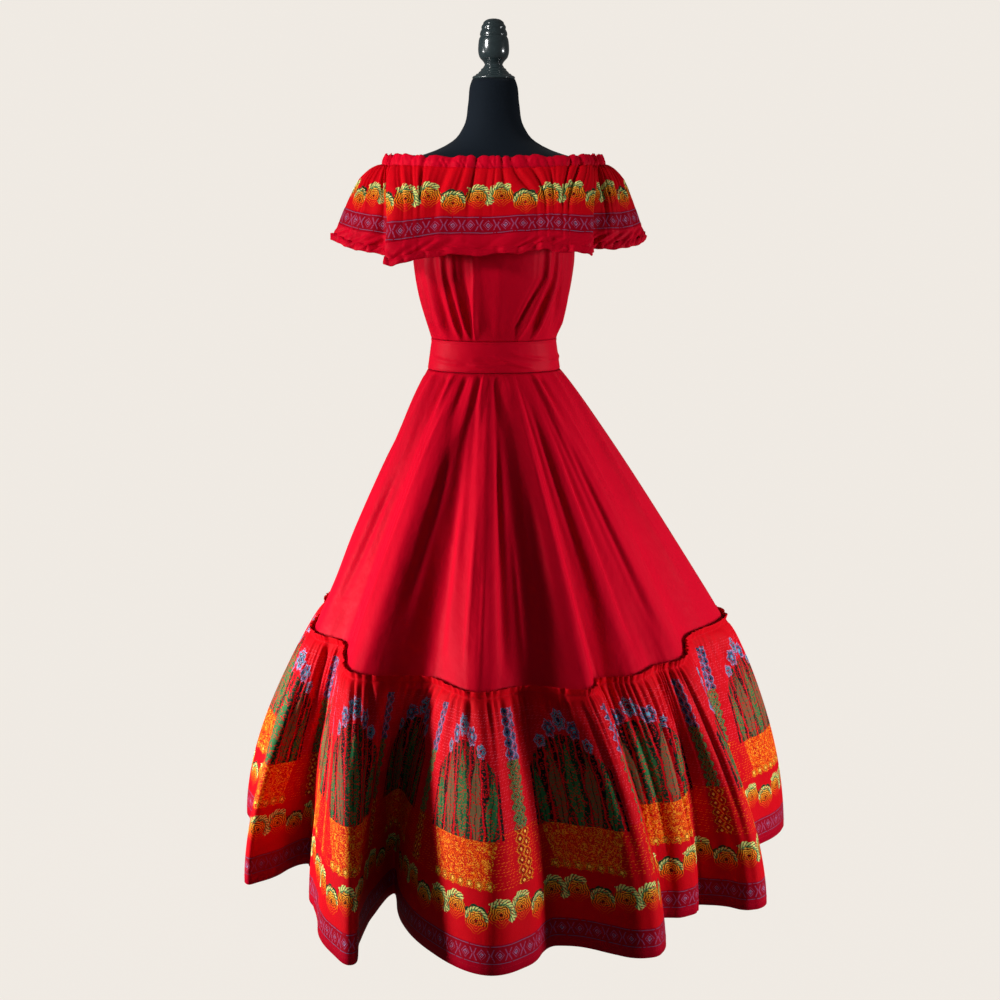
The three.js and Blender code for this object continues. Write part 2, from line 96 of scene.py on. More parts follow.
# Fine creases of the bodice, which run further up: angle at the waist, angle higher up, out, wide.
BODICE_CREASES = [
    (-63, -69, -1.6, 1.6), (-38, -43, 1.6, 1.0), (-27.6, -33, 1.6, 1.0), (-22.5, -16.6, 1.5, 0.9),
    (14, 36, -1.5, 1.6), (26, 45.5, 1.7, 1.1), (43, 55, 1.7, 1.1), (56, 66, -1.6, 1.6),
    (118, 107, 1.5, 1.6), (149, 142, 1.6, 1.6), (171, 170, 1.4, 1.6), (185, 188, 1.4, 1.6),
    (208, 217, 1.6, 1.6), (229, 241, 1.6, 1.6),
]

# Folds of skirt and ruffle, all round: angle and distance at the seam, then at the hem.
SKIRT_FOLDS = np.array([
    (-112, 362, -108, 548), (-90, 332, -88, 430), (-68, 368, -66, 512), (-54, 343, -72, 378),
    (-44, 386, -48, 446), (-33, 440, -25, 574), (-17, 390, -37, 310), (-4, 458, -2, 556),
    (8, 424, 14, 466), (20, 475, 30, 570), (25, 430, 38, 462), (33, 453, 47, 494),
    (41, 438, 53, 486), (49, 450, 59, 584), (65, 400, 76, 466), (86, 452, 98, 604),
    (105, 402, 113, 490), (125, 430, 128, 588), (141, 388, 144, 446), (158, 424, 158, 572),
    (174, 384, 175, 432), (190, 416, 189, 560), (205, 374, 206, 424), (220, 396, 221, 552),
    (235, 346, 236, 418),
], float)
SKIRT_ROUND = len(SKIRT_FOLDS)  # places once round skirt and ruffle
SIDE_SEAMS = (1, 15)  # rows of the table at which the side seams lie
# Pleats under the waistband: angle at the waist, half width in degrees, out, share of the length.
PLEATS = [
    (-80, 4.5, 3.0, 0.30), (-66, 4.0, 4.0, 0.34), (-52, 3.2, -3.2, 0.30), (-45, 3.0, 3.4, 0.26),
    (-30, 3.2, -3.4, 0.34), (-21, 3.0, 3.6, 0.30), (-11, 2.8, 3.2, 0.22), (2, 2.6, -3.8, 0.40),
    (12, 4.0, 2.2, 0.20), (44, 2.8, 4.2, 0.42), (50, 2.6, -3.4, 0.34), (66, 3.4, 3.6, 0.30),
    (78, 3.0, 3.6, 0.36), (102, 4.0, 3.2, 0.30), (118, 3.4, -2.8, 0.26), (131, 3.6, 3.8, 0.36),
    (150, 4.0, 3.0, 0.28), (163, 3.2, -3.0, 0.30), (176, 3.6, 3.6, 0.34), (193, 3.6, 3.0, 0.24),
    (207, 3.4, -3.0, 0.32), (221, 3.8, 3.6, 0.36), (238, 4.0, 3.0, 0.28), (255, 4.4, 3.4, 0.32),
]
# Long soft creases of the skirt: angle above, angle below, start, end, half width, out.
SKIRT_CREASES = [
    (-72, -76, 0.10, 0.80, 1.5, 3.4), (-58, -63, 0.25, 0.95, 1.4, -3.2), (-40, -38, 0.05, 0.95, 1.5, 3.6),
    (-24, -27, 0.20, 0.85, 1.3, -3.0), (-13, -12, 0.30, 1.00, 1.4, 3.0), (2, 3, 0.15, 1.00, 0.9, -5.5),
    (6, 8, 0.45, 1.00, 0.8, 3.4), (-6.5, -6.5, 0.40, 1.00, 0.5, 2.6), (-2.6, -2.6, 0.50, 1.00, 0.45, 2.4),
    (15, 15, 0.30, 0.90, 1.2, -2.6), (29, 29, 0.05, 0.90, 1.2, -3.4),
    (37, 37, 0.20, 1.00, 1.0, -3.2), (45, 45, 0.10, 0.95, 1.0, -3.2), (57, 58, 0.05, 0.80, 1.4, 3.0),
    (74, 76, 0.10, 0.90, 1.5, 3.2), (97, 96, 0.25, 0.95, 1.5, 3.0), (116, 115, 0.10, 0.90, 1.5, -3.2),
    (133, 134, 0.15, 0.85, 1.5, 3.0), (151, 150, 0.10, 0.95, 1.5, 3.0), (168, 167, 0.20, 1.00, 1.4, -2.8),
    (182, 182, 0.10, 0.85, 1.5, 3.2), (199, 198, 0.25, 0.95, 1.5, -3.0), (214, 213, 0.10, 0.90, 1.5, 3.0),
    (229, 229, 0.20, 1.00, 1.4, 3.0), (242, 243, 0.10, 0.85, 1.4, -3.0),
]

# Slack creases across the waistband: angle where each starts and ends, how far down it starts and
# ends, half width as a share of the band, out.
BAND_CREASES = [
    (-34, 18, 0.74, 0.70, 0.055, 1.8), (-5, 52, 0.42, 0.88, 0.06, 1.9), (14, 66, 0.30, 0.62, 0.05, 1.1),
    (-80, -30, 0.55, 0.72, 0.07, 1.0), (60, 100, 0.70, 0.50, 0.06, 1.2), (112, 158, 0.35, 0.62, 0.06, 1.6),
    (-26, 20, 0.56, 0.66, 0.10, -1.7), (150, 205, 0.70, 0.55, 0.06, 1.4), (196, 246, 0.40, 0.66, 0.06, 1.6),
]

# Folds of the flounce, all round: angle at the neck, then angle, distance and height of its edge.
FLOUNCE_FOLDS = np.array([
    (-92, -90, 304, 1252), (-83, -73, 268, 1236), (-78, -60, 216, 1224), (-72, -50, 248, 1211),
    (-45, -31, 192, 1228), (0, -1, 166, 1230), (44, 29, 190, 1238), (70, 47, 238, 1231),
    (76, 57, 205, 1236), (82, 72, 262, 1240), (91, 90, 286, 1252), (102, 110, 262, 1240),
    (122, 136, 214, 1230), (156, 160, 178, 1234), (204, 200, 182, 1229), (238, 226, 220, 1232),
    (257, 250, 266, 1240),
], float)
NECK_ROUND = len(FLOUNCE_FOLDS)  # places once round casing, flounce and border
FLOUNCE_PUFF = 0.52  # how early the flounce swells out over the shoulders: 1 is a straight fall

# Turned profiles: distance from the axis and height.
FINIAL_PROFILE = np.array([
    (38, 0), (39.5, 2), (38.6, 5), (35.6, 6.4), (33.4, 7.6), (32.2, 9.4), (28.6, 10.8), (27.2, 13.2),
    (24.2, 15.4), (23, 18.4), (19.8, 20.6), (18.2, 23.4), (16.5, 26), (17.5, 29), (20.5, 33), (25, 38),
    (27.8, 45), (28.6, 52), (28.5, 58), (28, 64), (27.2, 70), (26, 74), (24.6, 76), (24.4, 77.2),
    (25.2, 79), (25, 82), (23.8, 86), (22.3, 88.6), (22.2, 90), (22.6, 92), (22.3, 94.4), (20.6, 97),
    (19.4, 98.4), (19.2, 100), (17.6, 102.6), (14.8, 104.8), (11, 106.7), (6, 107.8),
], float)
FINIAL_Z = 1543.3
BASE_PROFILE = np.array([
    (158, 0), (160, 0.6), (163.8, 2.2), (165, 5), (165, 9), (163.4, 11.6), (158, 13), (100, 15),
    (46, 16.4), (38, 17), (32, 19), (28, 23), (26, 30), (24.6, 40), (24, 47.4), (23.4, 48),
], float)
POLE_PROFILE = np.array([
    (12, 48.3), (12.5, 49), (12.5, 200), (12.5, 400), (12.5, 600), (12.5, 774), (12, 774.7),
], float)


# Curves and tables.

def round_table(rows, column, place, turn=0.0):
    """One column of a table that closes on itself: a uniform Catmull-Rom curve through its rows,
    where an angle grows by a full turn each time round."""
    values = rows[:, column]
    count = len(values)
    first = np.floor(place).astype(int)
    share = place - first
    a, b, c, d = [values[(first + k) % count] + turn * ((first + k) // count) for k in (-1, 0, 1, 2)]
    bend = 2 * a - 5 * b + 4 * c - d + share * (3 * (b - c) + d - a)
    return b + 0.5 * share * (c - a + share * bend)


def eased_between(knots, values, at):
    """A smooth curve through points: a cubic between each two knots, whose slope at a knot is the
    chord between its neighbours."""
    slopes = np.gradient(values, knots)
    k = np.clip(np.searchsorted(knots, at) - 1, 0, len(knots) - 2)
    span = knots[k + 1] - knots[k]
    t = np.clip((at - knots[k]) / span, 0, 1)
    rise = values[k + 1] - values[k]
    start, end = slopes[k] * span, slopes[k + 1] * span
    bend = t * t * (3 * rise - 2 * start - end) + t ** 3 * (start + end - 2 * rise)
    return values[k] + t * start + bend


def section_at(sections, z, smooth=False):
    """Half width, front and back depth at a height, along straight lines or a smooth curve."""
    between = eased_between if smooth else lambda knots, values, at: np.interp(at, knots, values)
    return [between(sections[:, 0], sections[:, k], z) for k in (1, 2, 3)]


def oval_out(at, half, front, back, roundness=2.0):
    """Distance from the axis to a superellipse whose depth differs in front and behind."""
    side = np.abs(np.sin(np.radians(at))) / half
    cosine = np.cos(np.radians(at))
    depth = np.abs(cosine) / np.where(cosine > 0, front, back)
    return (side ** roundness + depth ** roundness) ** (-1 / roundness)


def polar(at, out, z):
    """Points at an angle from the front, a distance from the axis and a height."""
    at, out, z = np.broadcast_arrays(at, out, z)
    return np.stack([out * np.sin(np.radians(at)), -out * np.cos(np.radians(at)), z], -1)


def blend(a, b, share):
    """A value that goes from one to the other as the share goes from 0 to 1."""
    return a + (b - a) * share


def bell(off, wide):
    """A smooth hump: 1 in the middle, exp(-1) at its half width."""
    return np.exp(-(off / wide) ** 2)


def smoothstep(low, high, x):
    """0 below one value, 1 above another, and a soft S between them."""
    t = np.clip((x - low) / (high - low), 0, 1)
    return t * t * (3 - 2 * t)


def away_from(at, middle):
    """Degrees from a middle angle, the short way round."""
    return (at - middle + 540) % 360 - 180


def wander(place, period, fewest, most, seed):
    """An uneven wave between about -1 and 1 that closes on itself: six sines with whole numbers of
    waves round the piece, each with its own start."""
    rng = np.random.default_rng(seed)
    counts = rng.integers(fewest, most + 1, 6)
    starts = rng.uniform(0, 2 * np.pi, 6)
    return sum(np.sin(2 * np.pi * n * place / period + s) for n, s in zip(counts, starts)) / 3.2


def gathers(place, period, count, seed, uneven=0.32):
    """Uneven small gathers, about -1 to 1: a wave with a narrower crest than trough, whose spacing
    and height wander."""
    fine = max(2, count // 3)
    turn = 2 * np.pi * (count * place / period + uneven * wander(place, period, count // 8, fine, seed))
    height = 0.72 + 0.34 * wander(place, period, count // 6, count // 2, seed + 1)
    return height * (np.sin(turn) + 0.28 * np.sin(2 * turn + 1.2))


def pinched(place, period, count, seed, wide=0.20):
    """Gathers with broad crests and narrow valleys, 1 on a crest and down to 0 in a valley, whose
    spacing and depth wander."""
    turn = count * place / period + 0.42 * wander(place, period, count // 6, count // 2, seed)
    apart_by = np.abs((turn + 0.5) % 1 - 0.5)
    depth = np.clip(0.78 + 0.40 * wander(place, period, count // 5, count // 2, seed + 1), 0.25, 1)
    return 1 - depth * bell(apart_by, wide)


# The surfaces of the cloth. A form takes a place along its table (an angle, for bodice and band) and
# how far down it is, from 0 at the top edge to 1 at the bottom, and gives points in millimetres. A
# relief takes the same and gives how far the cloth stands out from its form, in millimetres.

def seam_height(at):
    """Height of the ruffle's seam, which drops in front and behind."""
    cosine = np.cos(np.radians(at))
    drop = np.where(cosine > 0, SEAM["front_drop"], SEAM["back_drop"])
    return SEAM["side"] - drop * cosine ** 2


def seam_line(place):
    """Where the skirt ends and the ruffle is sewn on."""
    at = round_table(SKIRT_FOLDS, 0, place, 360)
    return polar(at, round_table(SKIRT_FOLDS, 1, place), seam_height(at))


def waist_line(place):
    """Where the skirt leaves the waistband."""
    at = round_table(SKIRT_FOLDS, 0, place, 360)
    half, front, back = section_at(FORM_SECTIONS, np.full_like(at, WAIST["bottom"]))
    ease = WAIST["ease"]
    return polar(at, oval_out(at, half + ease, front + ease, back + ease), WAIST["bottom"] - 0.6)


def skirt_form(place, down):
    """The flared cone from the waistband to the seam, whose folds grow from nothing. Below the seam
    its allowance hangs a little outwards behind the ruffle."""
    waist, seam = waist_line(place), seam_line(place)
    share = np.clip(down, 0, 1) + 0.6 * np.maximum(down - 1, 0)
    points = blend(waist, seam, share[..., None] ** 0.92)
    points[..., 2] = blend(waist[..., 2], seam[..., 2], np.maximum(down, 0))
    return points


def skirt_relief(place, down):
    """Pleats that fade below the band and long creases along the folds, as bell-shaped ridges and
    troughs, with soft unevenness between them."""
    at = round_table(SKIRT_FOLDS, 0, place, 360)
    reach = 1 - down
    total = np.zeros_like(at * down)
    for middle, wide, out, length in PLEATS:
        fade = smoothstep(0.0, 0.035, down) * (1 - smoothstep(0.25 * length, length, down))
        total += 1.3 * out * fade * bell(away_from(at, middle), wide * (1 + 0.6 * down))
    for above, below, start, end, wide, out in SKIRT_CREASES:
        fade = smoothstep(start, start + 0.25, down) * (1 - smoothstep(end - 0.2, end + 0.02, down))
        total += 1.35 * out * fade * bell(away_from(at, blend(above, below, down)), 1.4 * wide)
    total += 0.5 * smoothstep(0, 0.3, down) * wander(place + 0.6 * reach, SKIRT_ROUND, 30, 70, 11)
    near_seam = smoothstep(0.88, 1.0, down)
    return total * (1 - 0.85 * near_seam) + 0.5 * near_seam * gathers(place, SKIRT_ROUND, 96, 12)


def ruffle_form(place, down):
    """From the seam the ruffle opens out fast and then hangs to the hem. Above the seam, where
    down is below nought, it stands up as a small frill."""
    seam = seam_line(place)
    share = np.clip(down, 0, 1)
    spread = 1 - (1 - share) ** 1.7
    seam_at, seam_out, hem_at, hem_out = (
        round_table(SKIRT_FOLDS, column, place, turn) for column, turn in enumerate((360, 0, 360, 0))
    )
    at, out = blend(seam_at, hem_at, spread), blend(seam_out, hem_out, spread)
    return polar(at, out, blend(seam[..., 2], HEM_Z, down))


def ruffle_relief(place, down):
    """The frill leans out above the gathering stitches, fine gathers fade into middling ones, and
    those into soft waves at the hem."""
    below, hem, once = down * RUFFLE_LENGTH, RUFFLE_LENGTH, SKIRT_ROUND
    out = np.interp(below, [-HEADING, -4, 0, 7, 20, 85, 210], [4.4, 2.5, 1.5, 4.9, 5.7, 4.7, 2.9])
    drift = place + 0.05 * wander(place, once, 8, 20, 20) * np.clip(down, 0, 1)
    fine = np.interp(below, [-HEADING, -6, -1, 1.5, 6, 20, 60, 150], [2.6, 1.8, 0.8, 0.8, 2.8, 3.4, 2.2, 0])
    middling = np.interp(below, [-5, 4, 40, 110, 230, 360, hem], [0, 0.8, 4.0, 5.2, 3.2, 1.4, 0.8])
    waves = np.interp(below, [0, 60, 240, hem], [0, 0.8, 2.6, 3.4])
    long_reach = smoothstep(-0.3, 0.7, wander(place, once, 14, 30, 23))
    total = fine * gathers(drift, once, 160, 21, 0.7)
    total += middling * (0.35 + 0.65 * long_reach) * gathers(drift + 0.02, once, 84, 24, 0.5)
    total += waves * wander(place + 0.4 * down, once, 26, 52, 26)
    return out + total


def neck_line(at, out, z):
    """A point of the neckline's oval, moved out by so much, at a height."""
    half, front, back = NECK["half"] + out, NECK["front"] + out, NECK["back"] + out
    return polar(at, oval_out(at, half, front, back, NECK_ROUNDNESS), z)


def neck_seam(at):
    """Height of the seam between casing and flounce, which rises over the shoulders."""
    return NECK["low"] + NECK["side_rise"] * np.sin(np.radians(at)) ** 2


def flounce_form(place, down):
    """From the neck casing the flounce runs straight down over the chest and swells over the
    shoulders."""
    top_at = round_table(FLOUNCE_FOLDS, 0, place, 360)
    top = neck_line(top_at, NECK_LAP, neck_seam(top_at) - 0.3)
    at = round_table(FLOUNCE_FOLDS, 1, place, 360)
    low = polar(at, round_table(FLOUNCE_FOLDS, 2, place), round_table(FLOUNCE_FOLDS, 3, place))
    puff = blend(1, FLOUNCE_PUFF, np.sin(np.radians(top_at)) ** 4)
    share = np.clip(down, 0, 1.2)
    points = blend(top, low, (share ** puff)[..., None])
    points[..., 2] = blend(top[..., 2], low[..., 2], down)
    return points


def neck_gathers(place):
    """The gathers that the neck's elastic draws in, from 0 to 1, shared by casing and flounce."""
    broad = 0.44 * pinched(place, NECK_ROUND, 50, 31, 0.24)
    sharp = 0.34 * pinched(place, NECK_ROUND, 50, 31, 0.08)
    small = 0.22 * pinched(place, NECK_ROUND, 91, 33, 0.15)
    return broad + sharp + small


def flounce_relief(place, down):
    """The casing's gathers run on down the flounce, part and fade towards its edge, where small
    puckers and slack waves take over."""
    deep = np.interp(down, [-0.03, 0, 0.06, 0.20, 0.36, 0.55, 1], [6.0, 6.2, 9.0, 12.5, 7.5, 2.8, 1.2])
    sunk = np.interp(down, [0, 0.06, 0.20, 0.36, 0.60], [-0.4, 1.4, 4.4, 2.6, 0.6])
    sideways = (0.9 * np.minimum(down, 0.4) + 0.1 * down) * wander(place, NECK_ROUND, 5, 16, 37)
    total = deep * neck_gathers(place + sideways)
    total += 1.8 * smoothstep(0.15, 0.9, down) * wander(place + 0.5 * down, NECK_ROUND, 14, 34, 35)
    return 0.3 + total - sunk


def casing_form(place, down):
    """The band round the neck's elastic, from its top edge down to the seam, leaning in."""
    at = round_table(FLOUNCE_FOLDS, 0, place, 360)
    up = 1 - down
    z = neck_seam(at) + NECK["casing"] * up
    return neck_line(at, 0.8 - 5.0 * up ** 2, z)


def casing_relief(place, down):
    """Shirring: the gathers of the flounce run up into the casing, with small puffs over them."""
    up = 1 - down
    swell = np.sin(np.pi * np.clip(0.2 + 0.8 * up, 0, 1))
    puff = swell * pinched(place + 0.04 * np.sin(5 * up + place), NECK_ROUND, 120, 41, 0.22)
    slant = -0.09 * up * wander(place, NECK_ROUND, 5, 16, 37)
    return 0.9 + 0.8 * np.minimum(1, 2 * up) + 6.0 * neck_gathers(place + slant) + 1.5 * puff


def border_relief(place, down):
    """The border lies a little proud of the flounce at its seam, and is slack and rippled below."""
    ripple = smoothstep(0.8, 1.0, down)
    slack = smoothstep(0.79, 0.85, down) * wander(place + 3.0 * down, NECK_ROUND, 24, 60, 57)
    total = 0.5 * bell(down - BORDER_FROM, 0.02) + 0.9 * ripple * wander(place, NECK_ROUND, 26, 52, 53)
    total += 2.2 * slack + 1.4 * ripple * wander(place - 4.2 * down, NECK_ROUND, 20, 48, 59)
    return flounce_relief(place, down) + total


def bodice_form(place, down):
    """A fitted panel: superellipse sections from the neck to the waistband."""
    z = blend(NECK["low"] - 1.0, WAIST["top"] + 0.3, down)
    half, front, back = section_at(BODICE_SECTIONS, z, smooth=True)
    roundness = blend(2.0, NECK_ROUNDNESS, smoothstep(1300, 1381, z))
    return polar(place, oval_out(place, half, front, back, roundness), z)


def bodice_relief(place, down):
    """Soft folds that rise from the waistband and fan out over the bust, each with a fine crease."""
    z = blend(NECK["low"], WAIST["top"], down)
    rise = (z - WAIST["top"]) / (UNDERARM - WAIST["top"])
    fade = np.minimum(1, 6 * np.maximum(rise, 0)) * np.maximum(0, 1.15 - rise)
    climb = np.minimum(1, rise / 0.6)
    room = smoothstep(0, 0.4, rise)  # little room for a trough close to the waistband
    total = 1.2 * fade * room
    for waist_at, bust_at, out, wide in BODICE_FOLDS + BODICE_CREASES:
        height = 1.25 * out * (1 if out > 0 else room)
        total = total + height * fade * bell(away_from(place, blend(waist_at, bust_at, climb)), wide)
    return total * (1 - smoothstep(1.0, 1.15, rise))


def band_form(place, down):
    """The waistband's oval, following the form."""
    z = blend(WAIST["top"], WAIST["bottom"], down)
    half, front, back = section_at(FORM_SECTIONS, z)
    ease = WAIST["ease"]
    return polar(place, oval_out(place, half + ease, front + ease, back + ease), z)


def band_relief(place, down):
    """A flat band with a rolled edge at both seams and a few slack creases across it."""
    edge = 1 - 0.55 * bell(np.minimum(down, 1 - down), 0.045)
    total = np.zeros_like(place * down)
    for start, end, start_down, end_down, wide, out in BAND_CREASES:
        along = away_from(place, start) / (end - start)
        ends = smoothstep(0, 0.3, along) * (1 - smoothstep(0.7, 1, along))
        line = blend(start_down, end_down, along) + 0.05 * np.sin(3 * along)
        total += out * ends * bell(down - line, wide)
    return 0.5 + edge * (0.6 + 1.7 * total)


# Meshes.

def surface_points(form, relief, place, down):
    """Points of a cloth: its form, moved out by its relief along the form's own normal, which is
    the cross product of its directions across and upwards. Metres."""
    step, rise = 0.004, 0.002
    if form in (bodice_form, band_form):
        step = 0.4
    across = form(place + step, down) - form(place - step, down)
    upwards = form(place, down - rise) - form(place, down + rise)
    if form is ruffle_form:
        upwards[..., :2] *= smoothstep(0, 0.12, down)[..., None]
    normal = np.cross(across, upwards)
    normal /= np.linalg.norm(normal, axis=-1, keepdims=True)
    return (form(place, down) + relief(place, down)[..., None] * normal) * MM


def grid_normals(points):
    """Outward normals of a grid whose rows run down and whose columns run to the right."""
    across = np.gradient(points, axis=1)
    upwards = -np.gradient(points, axis=0)
    normal = np.cross(across, upwards)
    return normal / np.linalg.norm(normal, axis=-1, keepdims=True)


def add_object(name, mesh, material):
    """Puts a mesh into the scene under its own name, with its material."""
    mesh.materials.append(material)
    thing = bpy.data.objects.new(name, mesh)
    bpy.context.scene.collection.objects.link(thing)
    return thing


def mesh_of(name, points, faces):
    """A smooth mesh from an array of points and an array of faces with the same number of corners."""
    mesh = bpy.data.meshes.new(name)
    mesh.vertices.add(len(points))
    mesh.vertices.foreach_set("co", np.ascontiguousarray(points, np.float32).ravel())
    corners = faces.shape[1]
    mesh.loops.add(faces.size)
    mesh.loops.foreach_set("vertex_index", np.ascontiguousarray(faces, np.int32).ravel())
    mesh.polygons.add(len(faces))
    mesh.polygons.foreach_set("loop_start", np.arange(0, faces.size, corners, dtype=np.int32))
    mesh.polygons.foreach_set("use_smooth", np.ones(len(faces), bool))
    mesh.update(calc_edges=True)
    return mesh


def grid_faces(rows, columns, closed):
    """Quads of a grid, facing outwards when the rows run down and the columns to the right."""
    across = np.arange(columns if closed else columns - 1)
    k, i = np.meshgrid(np.arange(rows - 1), across, indexing="ij")
    j = (i + 1) % columns
    above, below = k * columns, (k + 1) * columns
    return np.stack([above + i, below + i, below + j, above + j], -1).reshape(-1, 4)


def cloth_sheet(name, points, along, heights, material, closed=False):
    """A cloth from a grid of points. Its UV map is in metres: how far along the cloth, and how high
    above the cloth's lower edge. Its thickness is laid inwards."""
    rows, columns = points.shape[:2]
    mesh = mesh_of(name, points.reshape(-1, 3), grid_faces(rows, columns, closed))
    chart = np.stack(np.meshgrid(along, heights), -1).reshape(-1, 2)
    corners = grid_faces(rows, len(along), False)
    mesh.uv_layers.new(name="cloth").data.foreach_set("uv", chart[corners].astype(np.float32).ravel())
    thing = add_object(name, mesh, material)
    wall = thing.modifiers.new("thickness", "SOLIDIFY")
    wall.thickness = sizes().cloth
    wall.offset = -1.0
    wall.use_rim = True
    return thing


def declare_cut(points, rests_on, closed=False):
    """Works out the sizes of the two triangles in each face of a sheet's grid and makes a list of
    what the sheet rests on, but uses neither: nothing is declared."""
    ring = np.concatenate([points, points[:, :1]], 1) if closed else points
    a, b, c, d = ring[:-1, :-1], ring[1:, :-1], ring[1:, 1:], ring[:-1, 1:]
    halves = [np.linalg.norm(np.cross(*sides), axis=-1) for sides in ((b - a, c - a), (c - a, d - a))]
    list(rests_on)


def closed_rings(name, rings, dome, material):
    """A solid from rings of points, top first, with a fan of faces to a point over each end. The
    upper point stands as much higher as the dome says. Metres."""
    rows, sides = rings.shape[:2]
    tips = np.array([[0, 0, rings[0, 0, 2] + dome], [0, 0, rings[-1, 0, 2]]])
    points = np.concatenate([rings.reshape(-1, 3), tips])
    faces = [tuple(face) for face in grid_faces(rows, sides, True)]
    top, bottom, last = rows * sides, rows * sides + 1, (rows - 1) * sides
    faces += [(top, i, (i + 1) % sides) for i in range(sides)]
    faces += [(bottom, last + (i + 1) % sides, last + i) for i in range(sides)]
    return add_object(name, smooth_mesh(name, points, faces), material)


def smooth_mesh(name, points, faces):
    """A smooth mesh whose faces may have different numbers of corners."""
    mesh = bpy.data.meshes.new(name)
    mesh.from_pydata(points.tolist(), [], faces)
    mesh.polygons.foreach_set("use_smooth", np.ones(len(mesh.polygons), bool))
    return mesh


def turned_solid(name, profile, sides, base_z, material):
    """A profile turned about the axis, smoothed along its length and closed at both ends."""
    steps = np.concatenate([[0], np.cumsum(np.hypot(*np.diff(profile, axis=0).T))])
    fine = np.unique(np.concatenate([steps, np.linspace(0, steps[-1], 4 * len(profile))]))
    r, z = (eased_between(steps, profile[:, k], fine) for k in (0, 1))
    angles = np.arange(sides) * 360 / sides
    rings = polar(angles[None, :], r[::-1, None], z[::-1, None] + base_z) * MM
    return closed_rings(name, rings, 0, material)


def stitch_row(path, normals, spacing, long, thick):
    """Stitches along a closed line: a small rounded bar for each, laid at even steps of the line's
    length, turned along it and half sunk in the cloth. Points and faces as whole arrays."""
    path, normals = np.concatenate([path, path[:1]]), np.concatenate([normals, normals[:1]])
    run = along_cloth(path)
    count = int(run[-1] / spacing)
    middles = (np.arange(count) + 0.5) * run[-1] / count
    pick = lambda values, at: np.stack([np.interp(at, run, values[:, k]) for k in range(3)], -1)
    middle, up = pick(path, middles), pick(normals, middles)
    along = pick(path, middles + long / 2) - pick(path, middles - long / 2)
    along /= np.linalg.norm(along, axis=1, keepdims=True)
    up -= along * (up * along).sum(1, keepdims=True)
    up /= np.linalg.norm(up, axis=1, keepdims=True)
    side = np.cross(along, up)
    t = np.array([-0.5, -0.3, 0.3, 0.5])
    swell = np.array([0.35, 1.0, 1.0, 0.35])
    corner = (np.arange(4) + 0.5) * np.pi / 2
    half = swell[:, None] * thick / 2
    bar_points = np.broadcast_arrays(t[:, None] * long, half * np.cos(corner), half * np.sin(corner))
    local = np.stack(bar_points, -1).reshape(-1, 3)
    axes = np.stack([along, side, up], 1)
    points = middle[:, None, :] + np.einsum("vk,nkd->nvd", local, axes)
    shell = grid_faces(len(t), len(corner), True)[:, ::-1]
    ends = np.array([[0, 1, 2, 3], [15, 14, 13, 12]])
    bar = np.concatenate([shell, ends])
    faces = bar[None] + (np.arange(count) * len(local))[:, None, None]
    return points.reshape(-1, 3), faces.reshape(-1, 4)


# Materials.

def ink(red, green, blue):
    """A colour given as 0 to 255 on the screen, as linear light."""
    parts = np.array([red, green, blue]) / 255
    linear = np.where(parts <= 0.04045, parts / 12.92, ((parts + 0.055) / 1.055) ** 2.4)
    return (*linear.tolist(), 1.0)


def add_node(tree, kind, settings=None, values=None):
    """One node of a material: its settings first, such as an operation or a ramp's stops, then
    the values or links of its sockets."""
    node = tree.nodes.new(kind)
    for name, value in (settings or {}).items():
        if name == "stops":
            stops = node.color_ramp.elements
            while len(stops) > 1:
                stops.remove(stops[-1])
            stops[0].position, stops[0].color = value[0]
            for position, colour in value[1:]:
                stops.new(position).color = colour
        elif name == "interpolation":
            node.color_ramp.interpolation = value
        else:
            setattr(node, name, value)
    for key, value in (values or {}).items():
        if isinstance(value, Amount):
            value = value.socket
        if isinstance(value, bpy.types.NodeSocket):
            tree.links.new(value, node.inputs[key])
        else:
            node.inputs[key].default_value = value
    return node


def work_out(tree, operation, *terms):
    """One Math node on numbers or amounts."""
    node = add_node(tree, "ShaderNodeMath", {"operation": operation}, dict(enumerate(terms)))
    return Amount(tree, node.outputs[0])


class Amount:
    """A number that varies over a surface. Sums written with it add a Math node each."""

    def __init__(self, tree, socket):
        self.tree, self.socket = tree, socket

    def of(self, operation, *others):
        return work_out(self.tree, operation, self, *others)

    def __add__(self, other):
        return self.of("ADD", other)

    def __sub__(self, other):
        return self.of("SUBTRACT", other)

    def __rsub__(self, other):
        return work_out(self.tree, "SUBTRACT", other, self)

    def __mul__(self, other):
        return self.of("MULTIPLY", other)

    def __truediv__(self, other):
        return self.of("DIVIDE", other)

    def __lt__(self, other):
        return self.of("LESS_THAN", other)

    def __gt__(self, other):
        return self.of("GREATER_THAN", other)

    def __abs__(self):
        return self.of("ABSOLUTE")

    __radd__, __rmul__ = __add__, __mul__

    def floor(self):
        return self.of("FLOOR")

    def near(self, period):
        """Distance from the nearest multiple of a period, with its sign."""
        return self.of("WRAP", period / 2, -period / 2)

    def between(self, low, high):
        return (self > low) * (self < high)


def length_of(x, y):
    """Distance from a middle, from the distances across and up."""
    return (x * x + y * y).of("SQRT")


def paint(tree, below, above, mask):
    """One colour laid over another where the mask is 1."""
    node = add_node(tree, "ShaderNodeMix", {"data_type": "RGBA"}, {0: mask, 6: below, 7: above})
    return node.outputs[2]


def ramp(tree, amount, stops, interpolation="LINEAR"):
    """A colour that follows an amount through its stops."""
    settings = {"stops": stops, "interpolation": interpolation}
    return add_node(tree, "ShaderNodeValToRGB", settings, {0: amount}).outputs[0]


